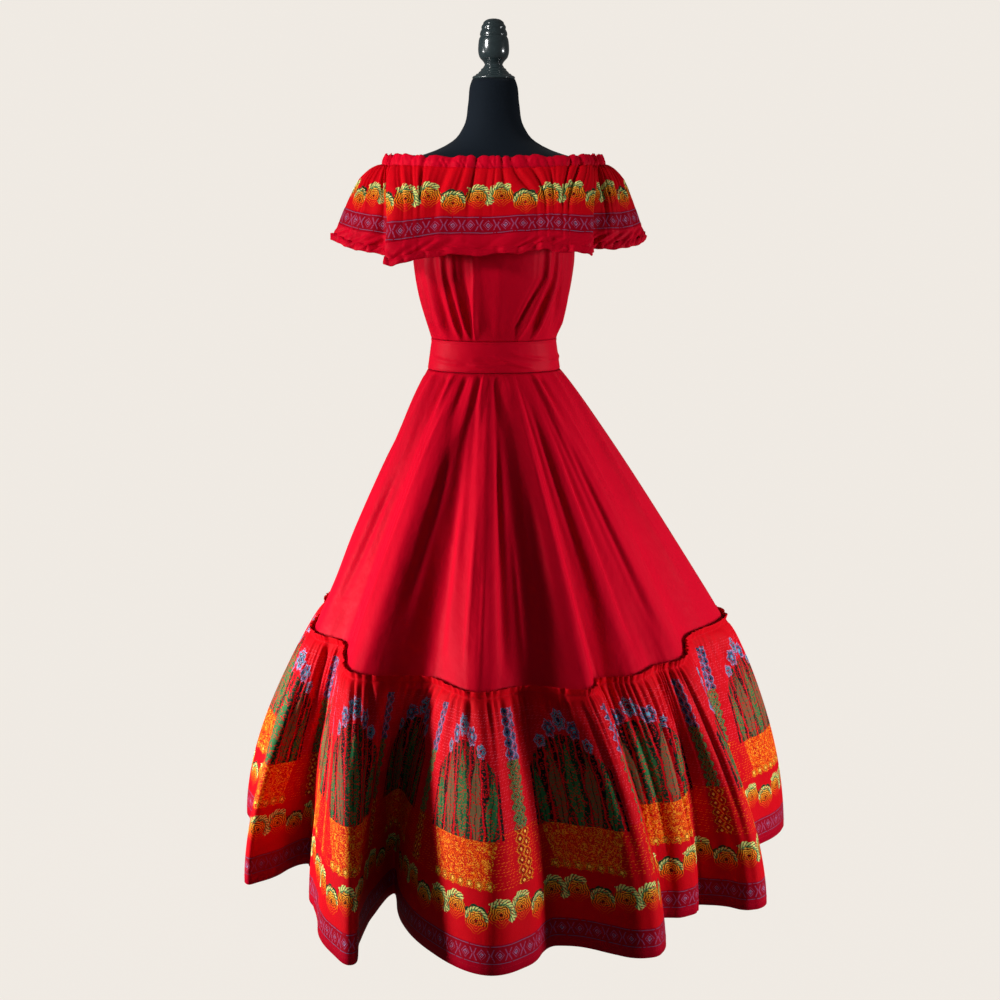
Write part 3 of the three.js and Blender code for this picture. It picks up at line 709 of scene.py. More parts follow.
# Yarns of the woven figures.
INK = {
    "crimson": ink(168, 0, 30), "dusk": ink(152, 2, 26), "dark": ink(74, 14, 14), "soot": ink(26, 22, 22),
    "mauve": ink(156, 74, 112), "slate": ink(92, 92, 128), "lilac": ink(168, 136, 182),
    "blue": ink(46, 104, 146), "sky": ink(88, 158, 190), "navy": ink(24, 30, 58),
    "green": ink(46, 112, 66), "leaf": ink(104, 150, 92), "olive": ink(112, 92, 62),
    "pine": ink(20, 58, 40),
    "rust": ink(206, 44, 10), "orange": ink(246, 104, 14), "amber": ink(246, 158, 40),
    "yellow": ink(250, 206, 84), "lime": ink(220, 224, 132), "coral": ink(226, 66, 84),
}
# The woven cloth's threads across and up, and the heights of its figures above the fold of the hem.
THREADS = (0.0009, 0.0011)
SELVEDGE_TOP, BAND_LOW, BAND_HIGH, BAND_MIDDLE = 0.0565, 0.018, 0.056, 0.037
GARLAND_LOW, PLANTS_LOW = 0.0575, 0.1495
BLOCK_LOW, BLOCK_HIGH = 0.153, 0.236


def engraved(reach, turn, spacing, lobes, wide=0.16):
    """Scalloped rings, as the woven petals show them: 1 on a line and 0 between the lines."""
    return abs((reach / spacing + (turn * lobes).of("SINE") * 0.42).near(1.0)) < wide


def band_pattern(tree, ground, u, h):
    """The narrow figured band: thin lines, diamonds and forked strokes in muted colours."""
    high = abs(h - BAND_MIDDLE)
    step = 0.032
    x = abs(u.near(step))
    diamond = x * 1.2 + high
    fork = abs((u + step / 2).near(step))
    stroke = abs(fork - high * 0.45 - 0.0012) < 0.0011
    colour = paint(tree, ground, INK["dusk"], high < 0.0150)
    colour = paint(tree, colour, INK["slate"], high.between(0.0154, 0.0165))
    colour = paint(tree, colour, INK["mauve"], stroke * (high < 0.0118))
    colour = paint(tree, colour, INK["mauve"], diamond.between(0.0088, 0.0106))
    colour = paint(tree, colour, INK["lilac"], diamond.between(0.0038, 0.0050))
    return paint(tree, colour, INK["slate"], diamond < 0.0020)


def garland_pattern(tree, ground, u, h, middle, size):
    """A continuous swag of round flowers, two high and one low, each hooded by a pale engraved
    leaf that meets its neighbours. The flowers go from yellow at the top to red at the foot."""
    step, radius = 0.047 * size, 0.0262 * size
    low = abs((u / step).near(3.0)) < 0.5
    lean = (u / step).near(3.0).of("ROUND")  # -1, 0 or 1: which of the three a flower is
    x = u.near(step)
    y = h - middle - 0.005 * size + low * (0.0140 * size) + lean * (0.0016 * size)
    reach, turn = length_of(x, y), y.of("ARCTAN2", x)
    stops = [(0.0, INK["rust"]), (0.38, INK["orange"]), (0.62, INK["amber"]), (0.85, INK["yellow"])]
    petals = ramp(tree, y / (2 * radius) + 0.46, stops)
    scallop = abs((turn * 4.5).of("SINE")) * 0.10 + 0.94
    flower = reach < radius * 0.90
    fading = (y + radius * 0.30) < 0
    lines = engraved(reach, turn, 0.0048 * size, 5.0, 0.21)
    wide_lines = engraved(reach, turn, 0.0048 * size, 5.0, 0.34) * fading
    hood = (reach / scallop).between(radius * 0.66, radius * 1.10) * (y + lean * x * 0.9 > 0.02 * radius)
    veins = abs((turn * 3.4 + reach * (150 / size)).near(1.0)) < 0.17
    veins = veins + (reach > radius * 0.96) * (low > 0.5) > 0.5
    colour = paint(tree, ground, petals, flower)
    colour = paint(tree, colour, INK["dark"], flower * lines * (1 - fading))
    colour = paint(tree, colour, ground, flower * wide_lines)
    colour = paint(tree, colour, INK["lime"], hood)
    colour = paint(tree, colour, INK["leaf"], hood * (reach < radius * 0.78))
    colour = paint(tree, colour, INK["pine"], hood * veins)
    return paint(tree, colour, INK["dark"], reach < radius * 0.12)


def rosette(tree, colour, x, y, radius, petals, rim, body, heart):
    """A small flower: an engraved rim and body with a dark ring, and a round heart."""
    turn = y.of("ARCTAN2", x)
    scallop = (turn * petals).of("COSINE") * 0.12 + 1
    share = length_of(x, y) / scallop / radius
    lines = engraved(share, turn, 0.30, petals, 0.15)
    colour = paint(tree, colour, rim, share < 1.0)
    colour = paint(tree, colour, body, share < 0.78)
    dark = share.between(0.40, 0.52) + lines * share.between(0.5, 1.0) > 0.5
    colour = paint(tree, colour, INK["dark"], dark)
    return paint(tree, colour, heart, share < 0.28)


def tall_pattern(tree, ground, chart, u, h):
    """Twin columns of rosettes with a tall plant between them on a ground of short dashes, in three
    zones of colour: orange at the foot, green, and blue at the top."""
    def zone(low, middle, high):
        return ramp(tree, h / 0.5, [(0, low), (0.49, middle), (0.73, high)], "CONSTANT")

    tall = h.between(0.150, 0.458)
    row_height = 0.0057
    row = (h / row_height).floor()
    in_row = abs((h / row_height).near(1.0)) < 0.17
    speck = (abs((u + row * 0.00637).near(0.0103)) < 0.0017) * in_row
    dash = speck * (noise(tree, chart, 60.0, 1.0) > 0.40)
    colour = paint(tree, ground, zone(INK["orange"], INK["coral"], INK["coral"]), dash * tall)

    repeat, reed_gap = 0.30, 0.0165
    x = (u - repeat / 2).near(repeat)
    side = abs(x)
    wave = noise(tree, chart, 34.0, 1.0) * 0.0120 - 0.0060
    reeds = abs((x + wave).near(reed_gap)) < 0.0060
    reeds = reeds * (side < 0.099) * h.between(BLOCK_HIGH, 0.404 - side * side * 6.0)
    other = abs((x / reed_gap).near(2.0)) < 0.5
    colour = paint(tree, colour, paint(tree, INK["pine"], INK["soot"], other), reeds)
    leaves = [
        (0.070, 0.018, 0.0125, 0.352, "green"), (0.036, 0.010, 0.0150, 0.386, "olive"),
        (0.0, 0.0, 0.0165, 0.400, "green"),
    ]
    for root, lean, wide, top, body in leaves:
        grown = (h - BLOCK_HIGH) / (top - BLOCK_HIGH)
        off = abs(side + wave - root - grown * lean)
        edge = ((grown * 0.86 + 0.14) * math.pi).of("SINE") * wide
        leaf = (off < edge) * h.between(BLOCK_HIGH, top)
        colour = paint(tree, colour, INK[body], leaf)
        colour = paint(tree, colour, INK["pine"], leaf * ((off < 0.0010) + (off > edge - 0.0016) > 0.5))

    block = (side < 0.060 + (h - BLOCK_LOW) * 0.30) * h.between(BLOCK_LOW, BLOCK_HIGH)
    curls = abs((noise(tree, chart, 70.0, 1.0) * 9.0).near(1.0)) < 0.25
    swirls = abs((noise(tree, chart, 26.0, 1.0) * 8.0).near(1.0)) < 0.27
    glow = paint(tree, INK["amber"], INK["orange"], swirls)
    colour = paint(tree, colour, INK["rust"], block)
    colour = paint(tree, colour, glow, curls * block)
    foot_radius = 0.0098 * (side < 0.074) + 0.0001
    flowers = [
        (x.near(0.0215), 0.1605, foot_radius, 5, "orange", "amber", "yellow"),
        (side - 0.062, 0.388, 0.0128, 5, "lilac", "sky", "navy"),
        (side - 0.033, 0.412, 0.0168, 6, "lilac", "blue", "sky"),
        (x, 0.430, 0.0190, 7, "lilac", "sky", "navy"),
    ]
    for aside, middle, radius, petals, *inks in flowers:
        colour = rosette(tree, colour, aside, h - middle, radius, petals, *[INK[name] for name in inks])

    rim = zone(INK["amber"], INK["green"], INK["lilac"])
    body = zone(INK["rust"], INK["leaf"], INK["blue"])
    heart = zone(INK["yellow"], INK["pine"], INK["navy"])
    columns, gap, column_step = colour, 0.0080, 0.0184
    for aside, shift in ((-gap, 0.0), (gap, column_step / 2)):
        x, y = u.near(repeat) + aside, (h + shift).near(column_step)
        columns = rosette(tree, columns, x, y, 0.0101, 4, rim, body, heart)
    return paint(tree, colour, columns, h.between(0.152, 0.456))


def new_finish(name):
    """An empty material made of nodes."""
    material = bpy.data.materials.new(name)
    material.use_nodes = True
    material.node_tree.nodes.clear()
    return material


def finish_surface(material, colour, roughness, bump=None, constants=None):
    """Closes a material: a Principled shader with a colour, a roughness and relief that may vary,
    and constants on its own sockets."""
    tree = material.node_tree
    values = {"Base Color": colour, "Roughness": roughness, **(constants or {})}
    if bump is not None:
        values["Normal"] = bump
    shader = add_node(tree, "ShaderNodeBsdfPrincipled", {}, values)
    add_node(tree, "ShaderNodeOutputMaterial", {}, {"Surface": shader.outputs[0]})
    return material


def coordinates(tree, kind):
    """Object coordinates, or the cloth's UV map, as a vector socket."""
    if kind == "cloth":
        return add_node(tree, "ShaderNodeUVMap", {"uv_map": "cloth"}).outputs[0]
    return add_node(tree, "ShaderNodeTexCoord").outputs["Object"]


def apart(tree, vector):
    """The three parts of a vector, as amounts."""
    node = add_node(tree, "ShaderNodeSeparateXYZ", {}, {0: vector})
    return [Amount(tree, socket) for socket in node.outputs]


def noise(tree, vector, scale, detail=2.0, rough=0.5):
    """Soft noise, about 0.5."""
    values = {"Vector": vector, "Scale": scale, "Detail": detail, "Roughness": rough}
    return Amount(tree, add_node(tree, "ShaderNodeTexNoise", {}, values).outputs[0])


def stretched_noise(tree, vector, scales):
    """Noise with a scale of its own in each direction."""
    mapping = add_node(tree, "ShaderNodeMapping", {}, {"Vector": vector, "Scale": scales})
    return noise(tree, mapping.outputs[0], 1.0)


def grains(tree, across, up):
    """A random number for each cell of a grid, as single threads show at the surface."""
    cell = add_node(tree, "ShaderNodeCombineXYZ", {}, {0: across.floor(), 1: up.floor()}).outputs[0]
    node = add_node(tree, "ShaderNodeTexWhiteNoise", {"noise_dimensions": "2D"}, {"Vector": cell})
    return Amount(tree, node.outputs[0])


def bumps(tree, height, strength, distance):
    """Fine relief: the shading normal for an amount that stands for height."""
    values = {"Strength": strength, "Distance": distance, "Height": height}
    return add_node(tree, "ShaderNodeBump", {}, values).outputs[0]


def shaded(tree, colour, amount):
    """A colour made lighter or darker by an amount around 1."""
    node = add_node(tree, "ShaderNodeHueSaturation", {}, {"Value": amount, "Color": colour})
    return node.outputs[0]


def satin_finish(settings):
    """Sateen: red with a soft lustre, fine twill threads and faint handling creases."""
    material = new_finish("sateen")
    tree = material.node_tree
    chart = coordinates(tree, "cloth")
    u, h, _ = apart(tree, chart)
    twill = ((u + h * 0.6) * (2 * math.pi / 0.0011)).of("SINE")
    slub = stretched_noise(tree, chart, (900, 60, 1))
    creases = noise(tree, chart, 22.0, 3.0, 0.55)
    broad = noise(tree, chart, 7.0, 2.0)
    colour = shaded(tree, (*settings.satin, 1.0), slub * 0.10 + broad * 0.12 + 0.90)
    bump = bumps(tree, twill * 0.04 + slub * 0.10 + creases * 6.0, 0.42, 0.0009)
    roughness = broad * 0.12 + slub * 0.08 + 0.36
    constants = {"Specular Tint": (1.0, 0.12, 0.16, 1.0), "Specular IOR Level": 0.07}
    return finish_surface(material, colour, roughness, bump, constants)


def cambaya_finish(settings, name, garland_middle, garland_size, with_plants):
    """Woven cambaya: the figures follow the threads over a red ground, which shows through them here
    and there, with a deeper crimson selvedge."""
    material = new_finish(name)
    tree = material.node_tree
    chart = coordinates(tree, "cloth")
    raw_u, raw_h, _ = apart(tree, chart)
    u, h = [((raw / thread).floor() + 0.5) * thread for raw, thread in zip((raw_u, raw_h), THREADS)]
    ground = paint(tree, (*settings.cambaya, 1.0), INK["crimson"], raw_h < SELVEDGE_TOP)
    colour = paint(tree, ground, band_pattern(tree, ground, u, h), h.between(BAND_LOW, BAND_HIGH))
    garland = garland_pattern(tree, colour, u, h, garland_middle, garland_size)
    in_garland = (abs(h - garland_middle) < 0.042 * garland_size) * (h > GARLAND_LOW)
    colour = paint(tree, colour, garland, in_garland)
    if with_plants:
        colour = paint(tree, colour, tall_pattern(tree, colour, chart, u, h), h > PLANTS_LOW)
    show_through = (raw_h > PLANTS_LOW) * 0.12 + 0.08
    colour = paint(tree, colour, ground, grains(tree, raw_u / 0.0026, raw_h / 0.0016) < show_through)
    broad = noise(tree, chart, 9.0)
    colour = shaded(tree, colour, grains(tree, raw_u / 0.0011, raw_h / 0.0009) * 0.16 + broad * 0.16 + 0.84)
    warp, weft = [(raw * (2 * math.pi / thread)).of("SINE") for raw, thread in zip((raw_u, raw_h), THREADS)]
    creases = noise(tree, chart, 30.0, 3.0, 0.55)
    bump = bumps(tree, warp * weft * 0.08 + creases * 5.0, 0.40, 0.0009)
    constants = {"Specular Tint": (1.0, 0.2, 0.2, 1.0), "Specular IOR Level": 0.06}
    return finish_surface(material, colour, broad * 0.15 + 0.50, bump, constants)


def jersey_finish(settings):
    """Blue-black knitted jersey with fine ribs."""
    material = new_finish("knitted_jersey")
    tree = material.node_tree
    place = coordinates(tree, "object")
    x, y, z = apart(tree, place)
    ribs = (y.of("ARCTAN2", x) * 260).of("SINE") * (z * (2 * math.pi / 0.0016)).of("SINE")
    fuzz = noise(tree, place, 420.0, 2.0)
    colour = shaded(tree, (*settings.jersey, 1.0), fuzz * 0.5 + 0.75)
    bump = bumps(tree, ribs * 0.5 + fuzz * 0.6, 0.25, 0.0006)
    constants = {"Sheen Weight": 0.04, "Specular IOR Level": 0.12}
    return finish_surface(material, colour, fuzz * 0.1 + 0.78, bump, constants)


def lacquer_finish(settings):
    """Turned wood under dark gloss lacquer, with faint turning rings and dust."""
    material = new_finish("gloss_lacquer")
    tree = material.node_tree
    place = coordinates(tree, "object")
    _, _, z = apart(tree, place)
    turning = stretched_noise(tree, place, (6, 6, 700))
    dust = noise(tree, place, 160.0, 4.0, 0.6)
    colour = shaded(tree, (*settings.lacquer, 1.0), dust * 0.6 + 0.7)
    bump = bumps(tree, turning * 0.6 + (z * 900).of("SINE") * 0.05, 0.08, 0.0004)
    constants = {"Coat Weight": 0.7, "Coat Roughness": 0.08, "Specular IOR Level": 0.6}
    return finish_surface(material, colour, dust * 0.16 + 0.16, bump, constants)


def steel_finish(settings):
    """Satin black paint on steel, with a fine orange-peel grain and scuffs."""
    material = new_finish("black_paint")
    tree = material.node_tree
    place = coordinates(tree, "object")
    grain = noise(tree, place, 500.0, 3.0)
    scuffs = noise(tree, place, 35.0, 5.0, 0.7)
    colour = shaded(tree, (*settings.steel, 1.0), scuffs * 0.8 + 0.6)
    bump = bumps(tree, grain, 0.10, 0.0003)
    return finish_surface(material, colour, scuffs * 0.25 + 0.30, bump, {"Specular IOR Level": 0.5})


def thread_finish(settings):
    """Sewing thread, a shade deeper than the cloth, with a fine twist."""
    material = new_finish("sewing_thread")
    tree = material.node_tree
    twist = noise(tree, coordinates(tree, "object"), 1500.0, 1.0)
    colour = shaded(tree, (*[0.86 * part for part in settings.satin], 1.0), twist * 0.5 + 0.75)
    bump = bumps(tree, twist, 0.3, 0.0002)
    return finish_surface(material, colour, twist * 0.1 + 0.45, bump, {"Specular IOR Level": 0.1})


def backdrop_finish(settings):
    """Cream paper that is lit evenly: nearly all of its brightness is its own."""
    material = new_finish("cream_paper")
    tree = material.node_tree
    tone = noise(tree, coordinates(tree, "object"), 0.7, 2.0)
    lit_share, own_share = 0.012, 0.985
    lit = [lit_share * part for part in settings.backdrop]
    colour = shaded(tree, (*lit, 1.0), tone * 0.03 + 0.985)
    constants = {
        "Specular IOR Level": 0.0,
        "Emission Color": (*settings.backdrop, 1.0),
        "Emission Strength": own_share,
    }
    return finish_surface(material, colour, 0.9, None, constants)


FINISHES = {
    "satin": satin_finish,
    "ruffle_cambaya": lambda s: cambaya_finish(s, "figured_cambaya", 0.106, 1.0, True),
    "flounce_cambaya": lambda s: cambaya_finish(s, "figured_cambaya_narrow", 0.0905, 0.94, False),
    "jersey": jersey_finish,
    "lacquer": lacquer_finish,
    "steel": steel_finish,
    "thread": thread_finish,
    "backdrop": backdrop_finish,
}
_made = {}


def finish(name):
    """The material of a finish, made once."""
    if name not in _made:
        _made[name] = FINISHES[name](bpy.context.scene.dress_colours)
    return _made[name]


# Settings that a user would change.

def colour_setting(name, description, default):
    """A colour as linear light."""
    return FloatVectorProperty(
        name=name, description=description, subtype="COLOR", size=3, min=0, max=1, default=default,
    )


def power_setting(name, description, default):
    """The power of a light."""
    return FloatProperty(name=name, description=description, unit="POWER", default=default, min=0)


class DressColours(PropertyGroup):
    """Colours of cloth, form and studio."""

    satin: colour_setting("Sateen", "Red of bodice, band, skirt and borders", (0.60, 0.0015, 0.018))
    cambaya: colour_setting("Cambaya ground", "Red ground of the figured cloth", (0.60, 0.0015, 0.008))
    jersey: colour_setting("Jersey", "Cover of the form", (0.0032, 0.0068, 0.0125))
    lacquer: colour_setting("Lacquer", "Turned finial", (0.024, 0.038, 0.042))
    steel: colour_setting("Steel", "Paint of pole and base", (0.012, 0.012, 0.013))
    backdrop: colour_setting("Backdrop", "Paper behind and under the dress", (0.88, 0.835, 0.78))


class DressSizes(PropertyGroup):
    """Sizes of cloth and sewing."""

    cloth: FloatProperty(
        name="Cloth", description="Thickness of the cloth", unit="LENGTH",
        default=CLOTH * MM, min=0.0005, max=0.003,
    )
    ruffle_columns: IntProperty(
        name="Ruffle columns", description="Columns of faces for each fold of the ruffle",
        default=40, min=12, max=48,
    )
    skirt_columns: IntProperty(
        name="Skirt columns", description="Columns of faces for each fold of the skirt",
        default=20, min=8, max=40,
    )
    stitch: FloatProperty(
        name="Stitch", description="Length of one stitch", unit="LENGTH",
        default=0.0032, min=0.001, max=0.01,
    )


class StudioSettings(PropertyGroup):
    """Light and camera."""

    key: power_setting("Key light", "Power of the main light, from the left", 12.8)
    fill: power_setting("Fill light", "Power of the light from the right", 8.4)
    top: power_setting("Top light", "Power of the light over the shoulders", 1.15)
    sky: FloatProperty(name="Sky", description="Strength of the light from all round", default=0.09, min=0)
    lens: FloatProperty(name="Lens", description="Focal length on a 36 mm sensor", default=56.52, min=10)


def sizes():
    """The dress's size settings."""
    return bpy.context.scene.dress_sizes


def seat(thing, slot, node=None):
    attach(thing, "root")
    if node:
        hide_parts(node)


def cloth_piece(node, cloth, points, along, heights, rests_on=(), closed=False):
    slot, finish_name = cloth
    thing = cloth_sheet(node + "_cloth", points, along, heights, finish(finish_name), closed)
    seat(thing, slot, node)
    declare_cut(points, rests_on, closed)


def with_turned_hem(points, heights):
    """Adds a hem to the bottom edge: the cloth turns in under itself and runs 14 mm back up."""
    inwards = -grid_normals(points)[-1]
    turn = [  # how far in and up from the fold, and how far along the cloth
        (0.0009, -0.0006, 0.0006), (0.0020, -0.0004, 0.0020), (0.0026, 0.0016, 0.0040),
        (0.0028, 0.0130, 0.0150),
    ]
    rows = [points[-1] + inwards * into + np.array([0, 0, up]) for into, up, _ in turn]
    runs = [heights[-1] + run for _, _, run in turn]
    return np.concatenate([points, np.stack(rows)]), np.concatenate([heights, runs])


def along_cloth(line):
    """Metres along a line of points from its first one."""
    return np.concatenate([[0], np.cumsum(np.linalg.norm(np.diff(line, axis=0), axis=1))])


def length_chart(form, relief_of, once, down, steps=48):
    """A table from place to metres along the cloth, once round and once more to either side."""
    place = np.linspace(-once, 2 * once, 3 * once * steps + 1)
    return place, along_cloth(surface_points(form, relief_of, place, np.full_like(place, down)))


def panels_between_seams(kind):
    """The front and back panel of skirt or ruffle: name, and its places from seam to seam."""
    left, right = SIDE_SEAMS
    return [(kind + "_front", left, right), (kind + "_back", right, left + SKIRT_ROUND)]


# Operators, one for each piece or group of like pieces.

class DRESS_OT_skirt(Operator):
    """Make the front and back of the skirt"""

    bl_idname = "dress.skirt"
    bl_label = "Skirt"

    def execute(self, context):
        pleated = np.linspace(0, 0.06, 9)
        plain = np.linspace(0.06, 0.9, 66)
        gathered = np.linspace(0.9, 1, 11)
        allowance = [1.007, 1.024]
        downs = np.concatenate([pleated[:-1], plain[:-1], gathered, allowance])
        chart = length_chart(skirt_form, skirt_relief, SKIRT_ROUND, 1.0)
        for name, first, last in panels_between_seams("skirt"):
            places = np.linspace(first, last, (last - first) * sizes().skirt_columns + 1)
            points = surface_points(skirt_form, skirt_relief, *np.meshgrid(places, downs))
            heights = 0.49 * (1 - downs)
            cloth_piece(name, ("satin", "satin"), points, np.interp(places, *chart), heights)
        return {"FINISHED"}


class DRESS_OT_ruffle(Operator):
    """Make the front and back of the gathered hem ruffle"""

    bl_idname = "dress.ruffle"
    bl_label = "Hem ruffle"

    def execute(self, context):
        near_seam = [-HEADING, -11, -8, -5, -2.5, -1, 0, 1.5, 4, 8, 13, 19, 27, 36]
        downs = np.concatenate([near_seam, np.linspace(47, RUFFLE_LENGTH, 38)]) / RUFFLE_LENGTH
        chart = length_chart(ruffle_form, ruffle_relief, SKIRT_ROUND, 1.0)
        for name, first, last in panels_between_seams("ruffle"):
            places = np.linspace(first, last, (last - first) * sizes().ruffle_columns + 1)
            points = surface_points(ruffle_form, ruffle_relief, *np.meshgrid(places, downs))
            points, heights = with_turned_hem(points, RUFFLE_LENGTH * MM * (1 - downs))
            along = np.interp(places, *chart)
            cloth_piece(name, ("cambaya", "ruffle_cambaya"), points, along, heights)
        return {"FINISHED"}


class DRESS_OT_waistband(Operator):
    """Make the front and back of the waistband"""

    bl_idname = "dress.waistband"
    bl_label = "Waistband"

    def execute(self, context):
        downs = np.linspace(0, 1, 25)
        metres_a_degree = 0.0018
        for name, first in (("waistband_front", -90), ("waistband_back", 90)):
            places = np.linspace(first, first + 180, 201)
            points = surface_points(band_form, band_relief, *np.meshgrid(places, downs))
            along, heights = places * metres_a_degree, BAND_HEIGHT * MM * (1 - downs)
            cloth_piece(name, ("satin", "satin"), points, along, heights, ["form_torso"])
        return {"FINISHED"}


class DRESS_OT_bodice(Operator):
    """Make the front and back of the bodice, with the armholes left open"""

    bl_idname = "dress.bodice"
    bl_label = "Bodice"

    def execute(self, context):
        downs = np.linspace(0, 1, 91)
        z = blend(NECK["low"], WAIST["top"], downs)
        climb = np.maximum(0, (z - UNDERARM) / (NECK["low"] - UNDERARM))
        at_seam, at_neck = 89.93, 64  # degrees from the middle to a panel's edge
        reach = blend(at_seam, at_neck, np.sqrt(1 - (1 - climb) ** 2))
        shares = np.linspace(-1, 1, 201)
        along, heights = shares * 0.24, 0.33 * (1 - downs)
        for name, middle in (("bodice_front", 0), ("bodice_back", 180)):
            place = middle + reach[:, None] * shares
            down = np.broadcast_to(downs[:, None], place.shape)
            points = surface_points(bodice_form, bodice_relief, place, down)
            cloth_piece(name, ("satin", "satin"), points, along, heights, ["form_torso"])
        return {"FINISHED"}


class DRESS_OT_neck(Operator):
    """Make the casing of the neck's elastic, the flounce and the plain border on its edge"""

    bl_idname = "dress.neck"
    bl_label = "Neck flounce"

    def execute(self, context):
        length, columns = FLOUNCE_LENGTH * MM, 48
        plain, woven = ("satin", "satin"), ("cambaya", "flounce_cambaya")
        parts = [  # name, cloth, surface, rows of points from and to, what it rests on
            ("neck_casing", plain, casing_form, casing_relief, (0, 1, 15), ["form_torso"]),
            ("flounce", woven, flounce_form, flounce_relief, (0, BORDER_FROM, 40), ["form_torso"]),
            ("flounce_border", plain, flounce_form, border_relief, (BORDER_FROM + 0.002, 1, 17), []),
        ]
        for name, cloth, form, relief_of, rows, rests_on in parts:
            downs = np.linspace(*rows)
            places = np.linspace(0, NECK_ROUND, NECK_ROUND * columns + 1)
            along = np.interp(places, *length_chart(form, relief_of, NECK_ROUND, float(downs[-1])))
            place, down = np.meshgrid(places[:-1], downs)
            points = surface_points(form, relief_of, place, down)
            if name == "neck_casing":
                heights = 0.02 * (1 - downs)
                rise = 0.0056 * (neck_gathers(place) - 0.55) + 0.0022 * wander(place, NECK_ROUND, 6, 22, 47)
                points[..., 2] += rise * (1 - down) ** 2
            elif name == "flounce":
                heights = BAND_LOW + length * (BORDER_FROM - downs)
            else:
                heights = length * (1 - downs)
                edge = smoothstep(BORDER_FROM, 1, down)
                points[..., 2] += 0.0024 * edge * wander(place, NECK_ROUND, 14, 38, 51)
                points, heights = with_turned_hem(points, heights)
            cloth_piece(name, cloth, points, along, heights, rests_on, closed=True)
        return {"FINISHED"}


class DRESS_OT_stitching(Operator):
    """Make the rows of stitches at seams and hems"""

    bl_idname = "dress.stitching"
    bl_label = "Stitching"

    def execute(self, context):
        ruffle = (ruffle_form, ruffle_relief, SKIRT_ROUND, 60 * SKIRT_ROUND, 0.002)
        border = (flounce_form, border_relief, NECK_ROUND, 60 * NECK_ROUND, 0.003)
        casing = (casing_form, casing_relief, NECK_ROUND, 60 * NECK_ROUND, 0.003)
        band = (band_form, band_relief, 360, 720, 0.003)
        rows = [  # name, surface, how far down, spacing in metres, thickness in mm, slot
            ("ruffle_gathering_stitches", ruffle, 0.0, 0.0046, 0.9, "cambaya"),
            ("ruffle_hem_stitches", ruffle, 1 - HEM_STITCHES / RUFFLE_LENGTH, 0.0050, 0.7, "cambaya"),
            ("border_seam_stitches", border, BORDER_FROM + 0.018, 0.0044, 0.7, "satin"),
            ("border_hem_stitches", border, 0.94, 0.0044, 0.7, "satin"),
            ("casing_stitches", casing, 0.86, 0.0044, 0.8, "cambaya"),
            ("band_top_stitches", band, 0.055, 0.0044, 0.7, "satin"),
            ("band_bottom_stitches", band, 0.945, 0.0044, 0.7, "satin"),
        ]
        for name, (form, relief_of, once, count, step), down, spacing, thick, slot in rows:
            place = np.linspace(0, once, count + 1)[:-1]
            downs = [np.full_like(place, down + k * step) for k in (-1, 0, 1)]
            lines = [surface_points(form, relief_of, place, at) for at in downs]
            ring = np.stack([np.concatenate([line[-1:], line, line[:1]]) for line in lines])
            normals = grid_normals(ring)[1, 1:-1]
            path = lines[1] + normals * 0.0001
            points, faces = stitch_row(path, normals, spacing, sizes().stitch, thick * MM)
            seat(add_object(name, mesh_of(name, points, faces), finish("thread")), slot)
        return {"FINISHED"}


class DRESS_OT_form(Operator):
    """Make the jersey form and its turned finial"""

    bl_idname = "dress.form"
    bl_label = "Form and finial"

    def execute(self, context):
        heights = FORM_SECTIONS[:, 0]
        z = np.unique(np.concatenate([heights, np.linspace(heights[0], heights[-1], 110)]))[::-1]
        half, front, back = [size[:, None] for size in section_at(FORM_SECTIONS, z, smooth=True)]
        angles = np.arange(96)[None] * 360 / 96
        rings = polar(angles, oval_out(angles, half, front, back), z[:, None]) * MM
        torso = closed_rings("form_cover", rings, 0.0004, finish("jersey"))
        seat(torso, "jersey", "form_torso")
        finial = turned_solid("turned_finial", FINIAL_PROFILE, 48, FINIAL_Z, finish("lacquer"))
        seat(finial, "lacquer", "finial")
        return {"FINISHED"}


class DRESS_OT_stand(Operator):
    """Make the pole and the round base"""

    bl_idname = "dress.stand"
    bl_label = "Stand"

    def execute(self, context):
        base = turned_solid("round_base", BASE_PROFILE, 72, 0, finish("steel"))
        pole = turned_solid("steel_pole", POLE_PROFILE, 32, 0, finish("steel"))
        seat(base, "steel", "stand_base")
        seat(pole, "steel", "stand_pole")
        return {"FINISHED"}


def look_at(thing, target):
    """Turns a light so that it shines at a point."""
    thing.rotation_euler = (Vector(target) - thing.location).to_track_quat("-Z", "Y").to_euler()


def area_light(name, power, size, place, target, colour, spread):
    """A soft box that the camera doesn't see."""
    light = bpy.data.lights.new(name, "AREA")
    light.shape = "RECTANGLE"
    light.energy, light.color, light.spread = power, colour, math.radians(spread)
    light.size, light.size_y = size
    thing = bpy.data.objects.new(name, light)
    bpy.context.scene.collection.objects.link(thing)
    thing.location = place
    thing.visible_camera = False
    look_at(thing, target)


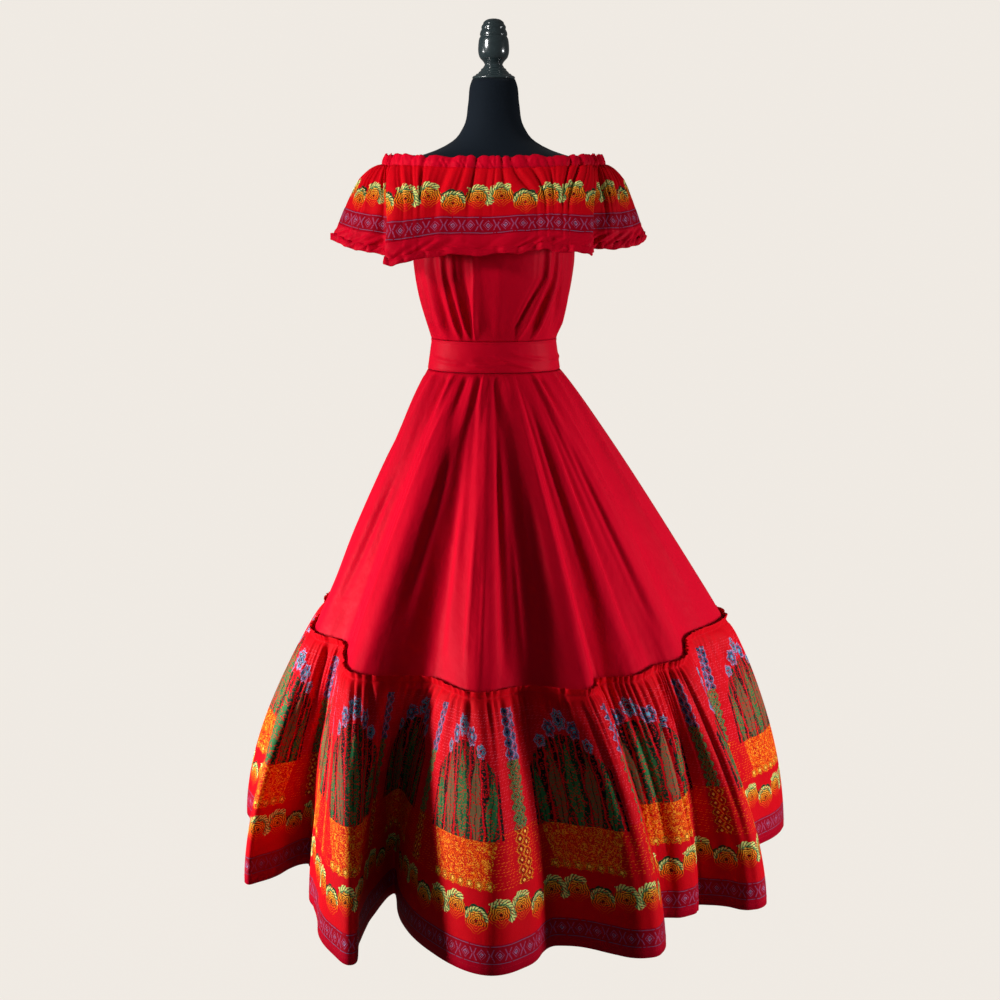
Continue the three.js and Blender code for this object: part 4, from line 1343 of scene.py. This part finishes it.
class DRESS_OT_stage(Operator):
    """Make the paper sweep, the lights and the camera"""

    bl_idname = "dress.stage"
    bl_label = "Studio"

    def execute(self, context):
        scene, studio = context.scene, context.scene.dress_studio
        bend, sides = np.linspace(0, np.pi / 2, 24), 96
        flat, curve, top = 5.0, 3.5, 9.0
        r = np.concatenate([np.linspace(0.02, flat, 12)[:-1], flat + curve * np.sin(bend), [flat + curve]])
        z = np.concatenate([np.zeros(11), curve * (1 - np.cos(bend)), [top]])
        angles = np.arange(sides) * 360 / sides
        points = polar(angles[None], r[:, None], z[:, None]).reshape(-1, 3)
        faces = [tuple(face) for face in grid_faces(len(r), sides, True)[:, ::-1]] + [tuple(range(sides))]
        paper = add_object("paper_sweep", smooth_mesh("paper_sweep", points, faces), finish("backdrop"))
        paper.visible_diffuse = False
        paper.visible_glossy = False

        world = bpy.data.worlds.new("studio")
        world.use_nodes = True
        sky = world.node_tree.nodes["Background"].inputs
        sky["Color"].default_value, sky["Strength"].default_value = (1.0, 0.985, 0.96, 1.0), studio.sky
        scene.world = world
        warm, cool = (1.0, 0.985, 0.965), (0.97, 0.985, 1.0)
        lights = [  # name, size, place, what it shines at, colour, spread in degrees
            ("key", (0.5, 1.3), (-3.95, -0.50, 0.75), (0, 0, 0.30), warm, 30),
            ("top", (0.4, 0.4), (-1.70, -1.15, 2.1), (0, 0, 1.46), warm, 24),
            ("fill", (0.6, 1.6), (3.85, -0.95, 0.75), (0, 0, 0.35), cool, 34),
        ]
        for name, size, place, target, colour, spread in lights:
            area_light(name, getattr(studio, name), size, place, target, colour, spread)

        camera = bpy.data.cameras.new("camera")
        camera.lens, camera.sensor_width = studio.lens, 36.0
        eye = bpy.data.objects.new("camera", camera)
        scene.collection.objects.link(eye)
        eye.location = (0.0117, -3.0, 1.35)  # fitted to the ovals of seam and hem
        eye.rotation_euler = (math.radians(78.69), 0, 0)
        scene.camera = eye
        scene.view_settings.view_transform = "Standard"
        return {"FINISHED"}


class DRESS_PT_panel(Panel):
    """Lists the pieces of the dress and their settings"""

    bl_label = "Folk dress"
    bl_idname = "DRESS_PT_panel"
    bl_space_type = "VIEW_3D"
    bl_region_type = "UI"
    bl_category = "Dress"

    def draw(self, context):
        for operator in OPERATORS:
            self.layout.operator(operator.bl_idname)
        for group in (context.scene.dress_colours, context.scene.dress_sizes, context.scene.dress_studio):
            box = self.layout.box()
            for name in group.bl_rna.properties.keys():
                if name not in ("rna_type", "name"):
                    box.prop(group, name)


OPERATORS = [
    DRESS_OT_stage, DRESS_OT_form, DRESS_OT_stand, DRESS_OT_skirt, DRESS_OT_ruffle, DRESS_OT_waistband,
    DRESS_OT_bodice, DRESS_OT_neck, DRESS_OT_stitching,
]
CLASSES = [DressColours, DressSizes, StudioSettings, *OPERATORS, DRESS_PT_panel]


def register():
    for item in CLASSES:
        bpy.utils.register_class(item)
    bpy.types.Scene.dress_colours = PointerProperty(type=DressColours)
    bpy.types.Scene.dress_sizes = PointerProperty(type=DressSizes)
    bpy.types.Scene.dress_studio = PointerProperty(type=StudioSettings)


def unregister():
    del bpy.types.Scene.dress_colours, bpy.types.Scene.dress_sizes, bpy.types.Scene.dress_studio
    for item in reversed(CLASSES):
        bpy.utils.unregister_class(item)


def main():
    register()
    for operator in OPERATORS:
        group, name = operator.bl_idname.split(".")
        getattr(getattr(bpy.ops, group), name)()


if __name__ == "__main__":
    main()
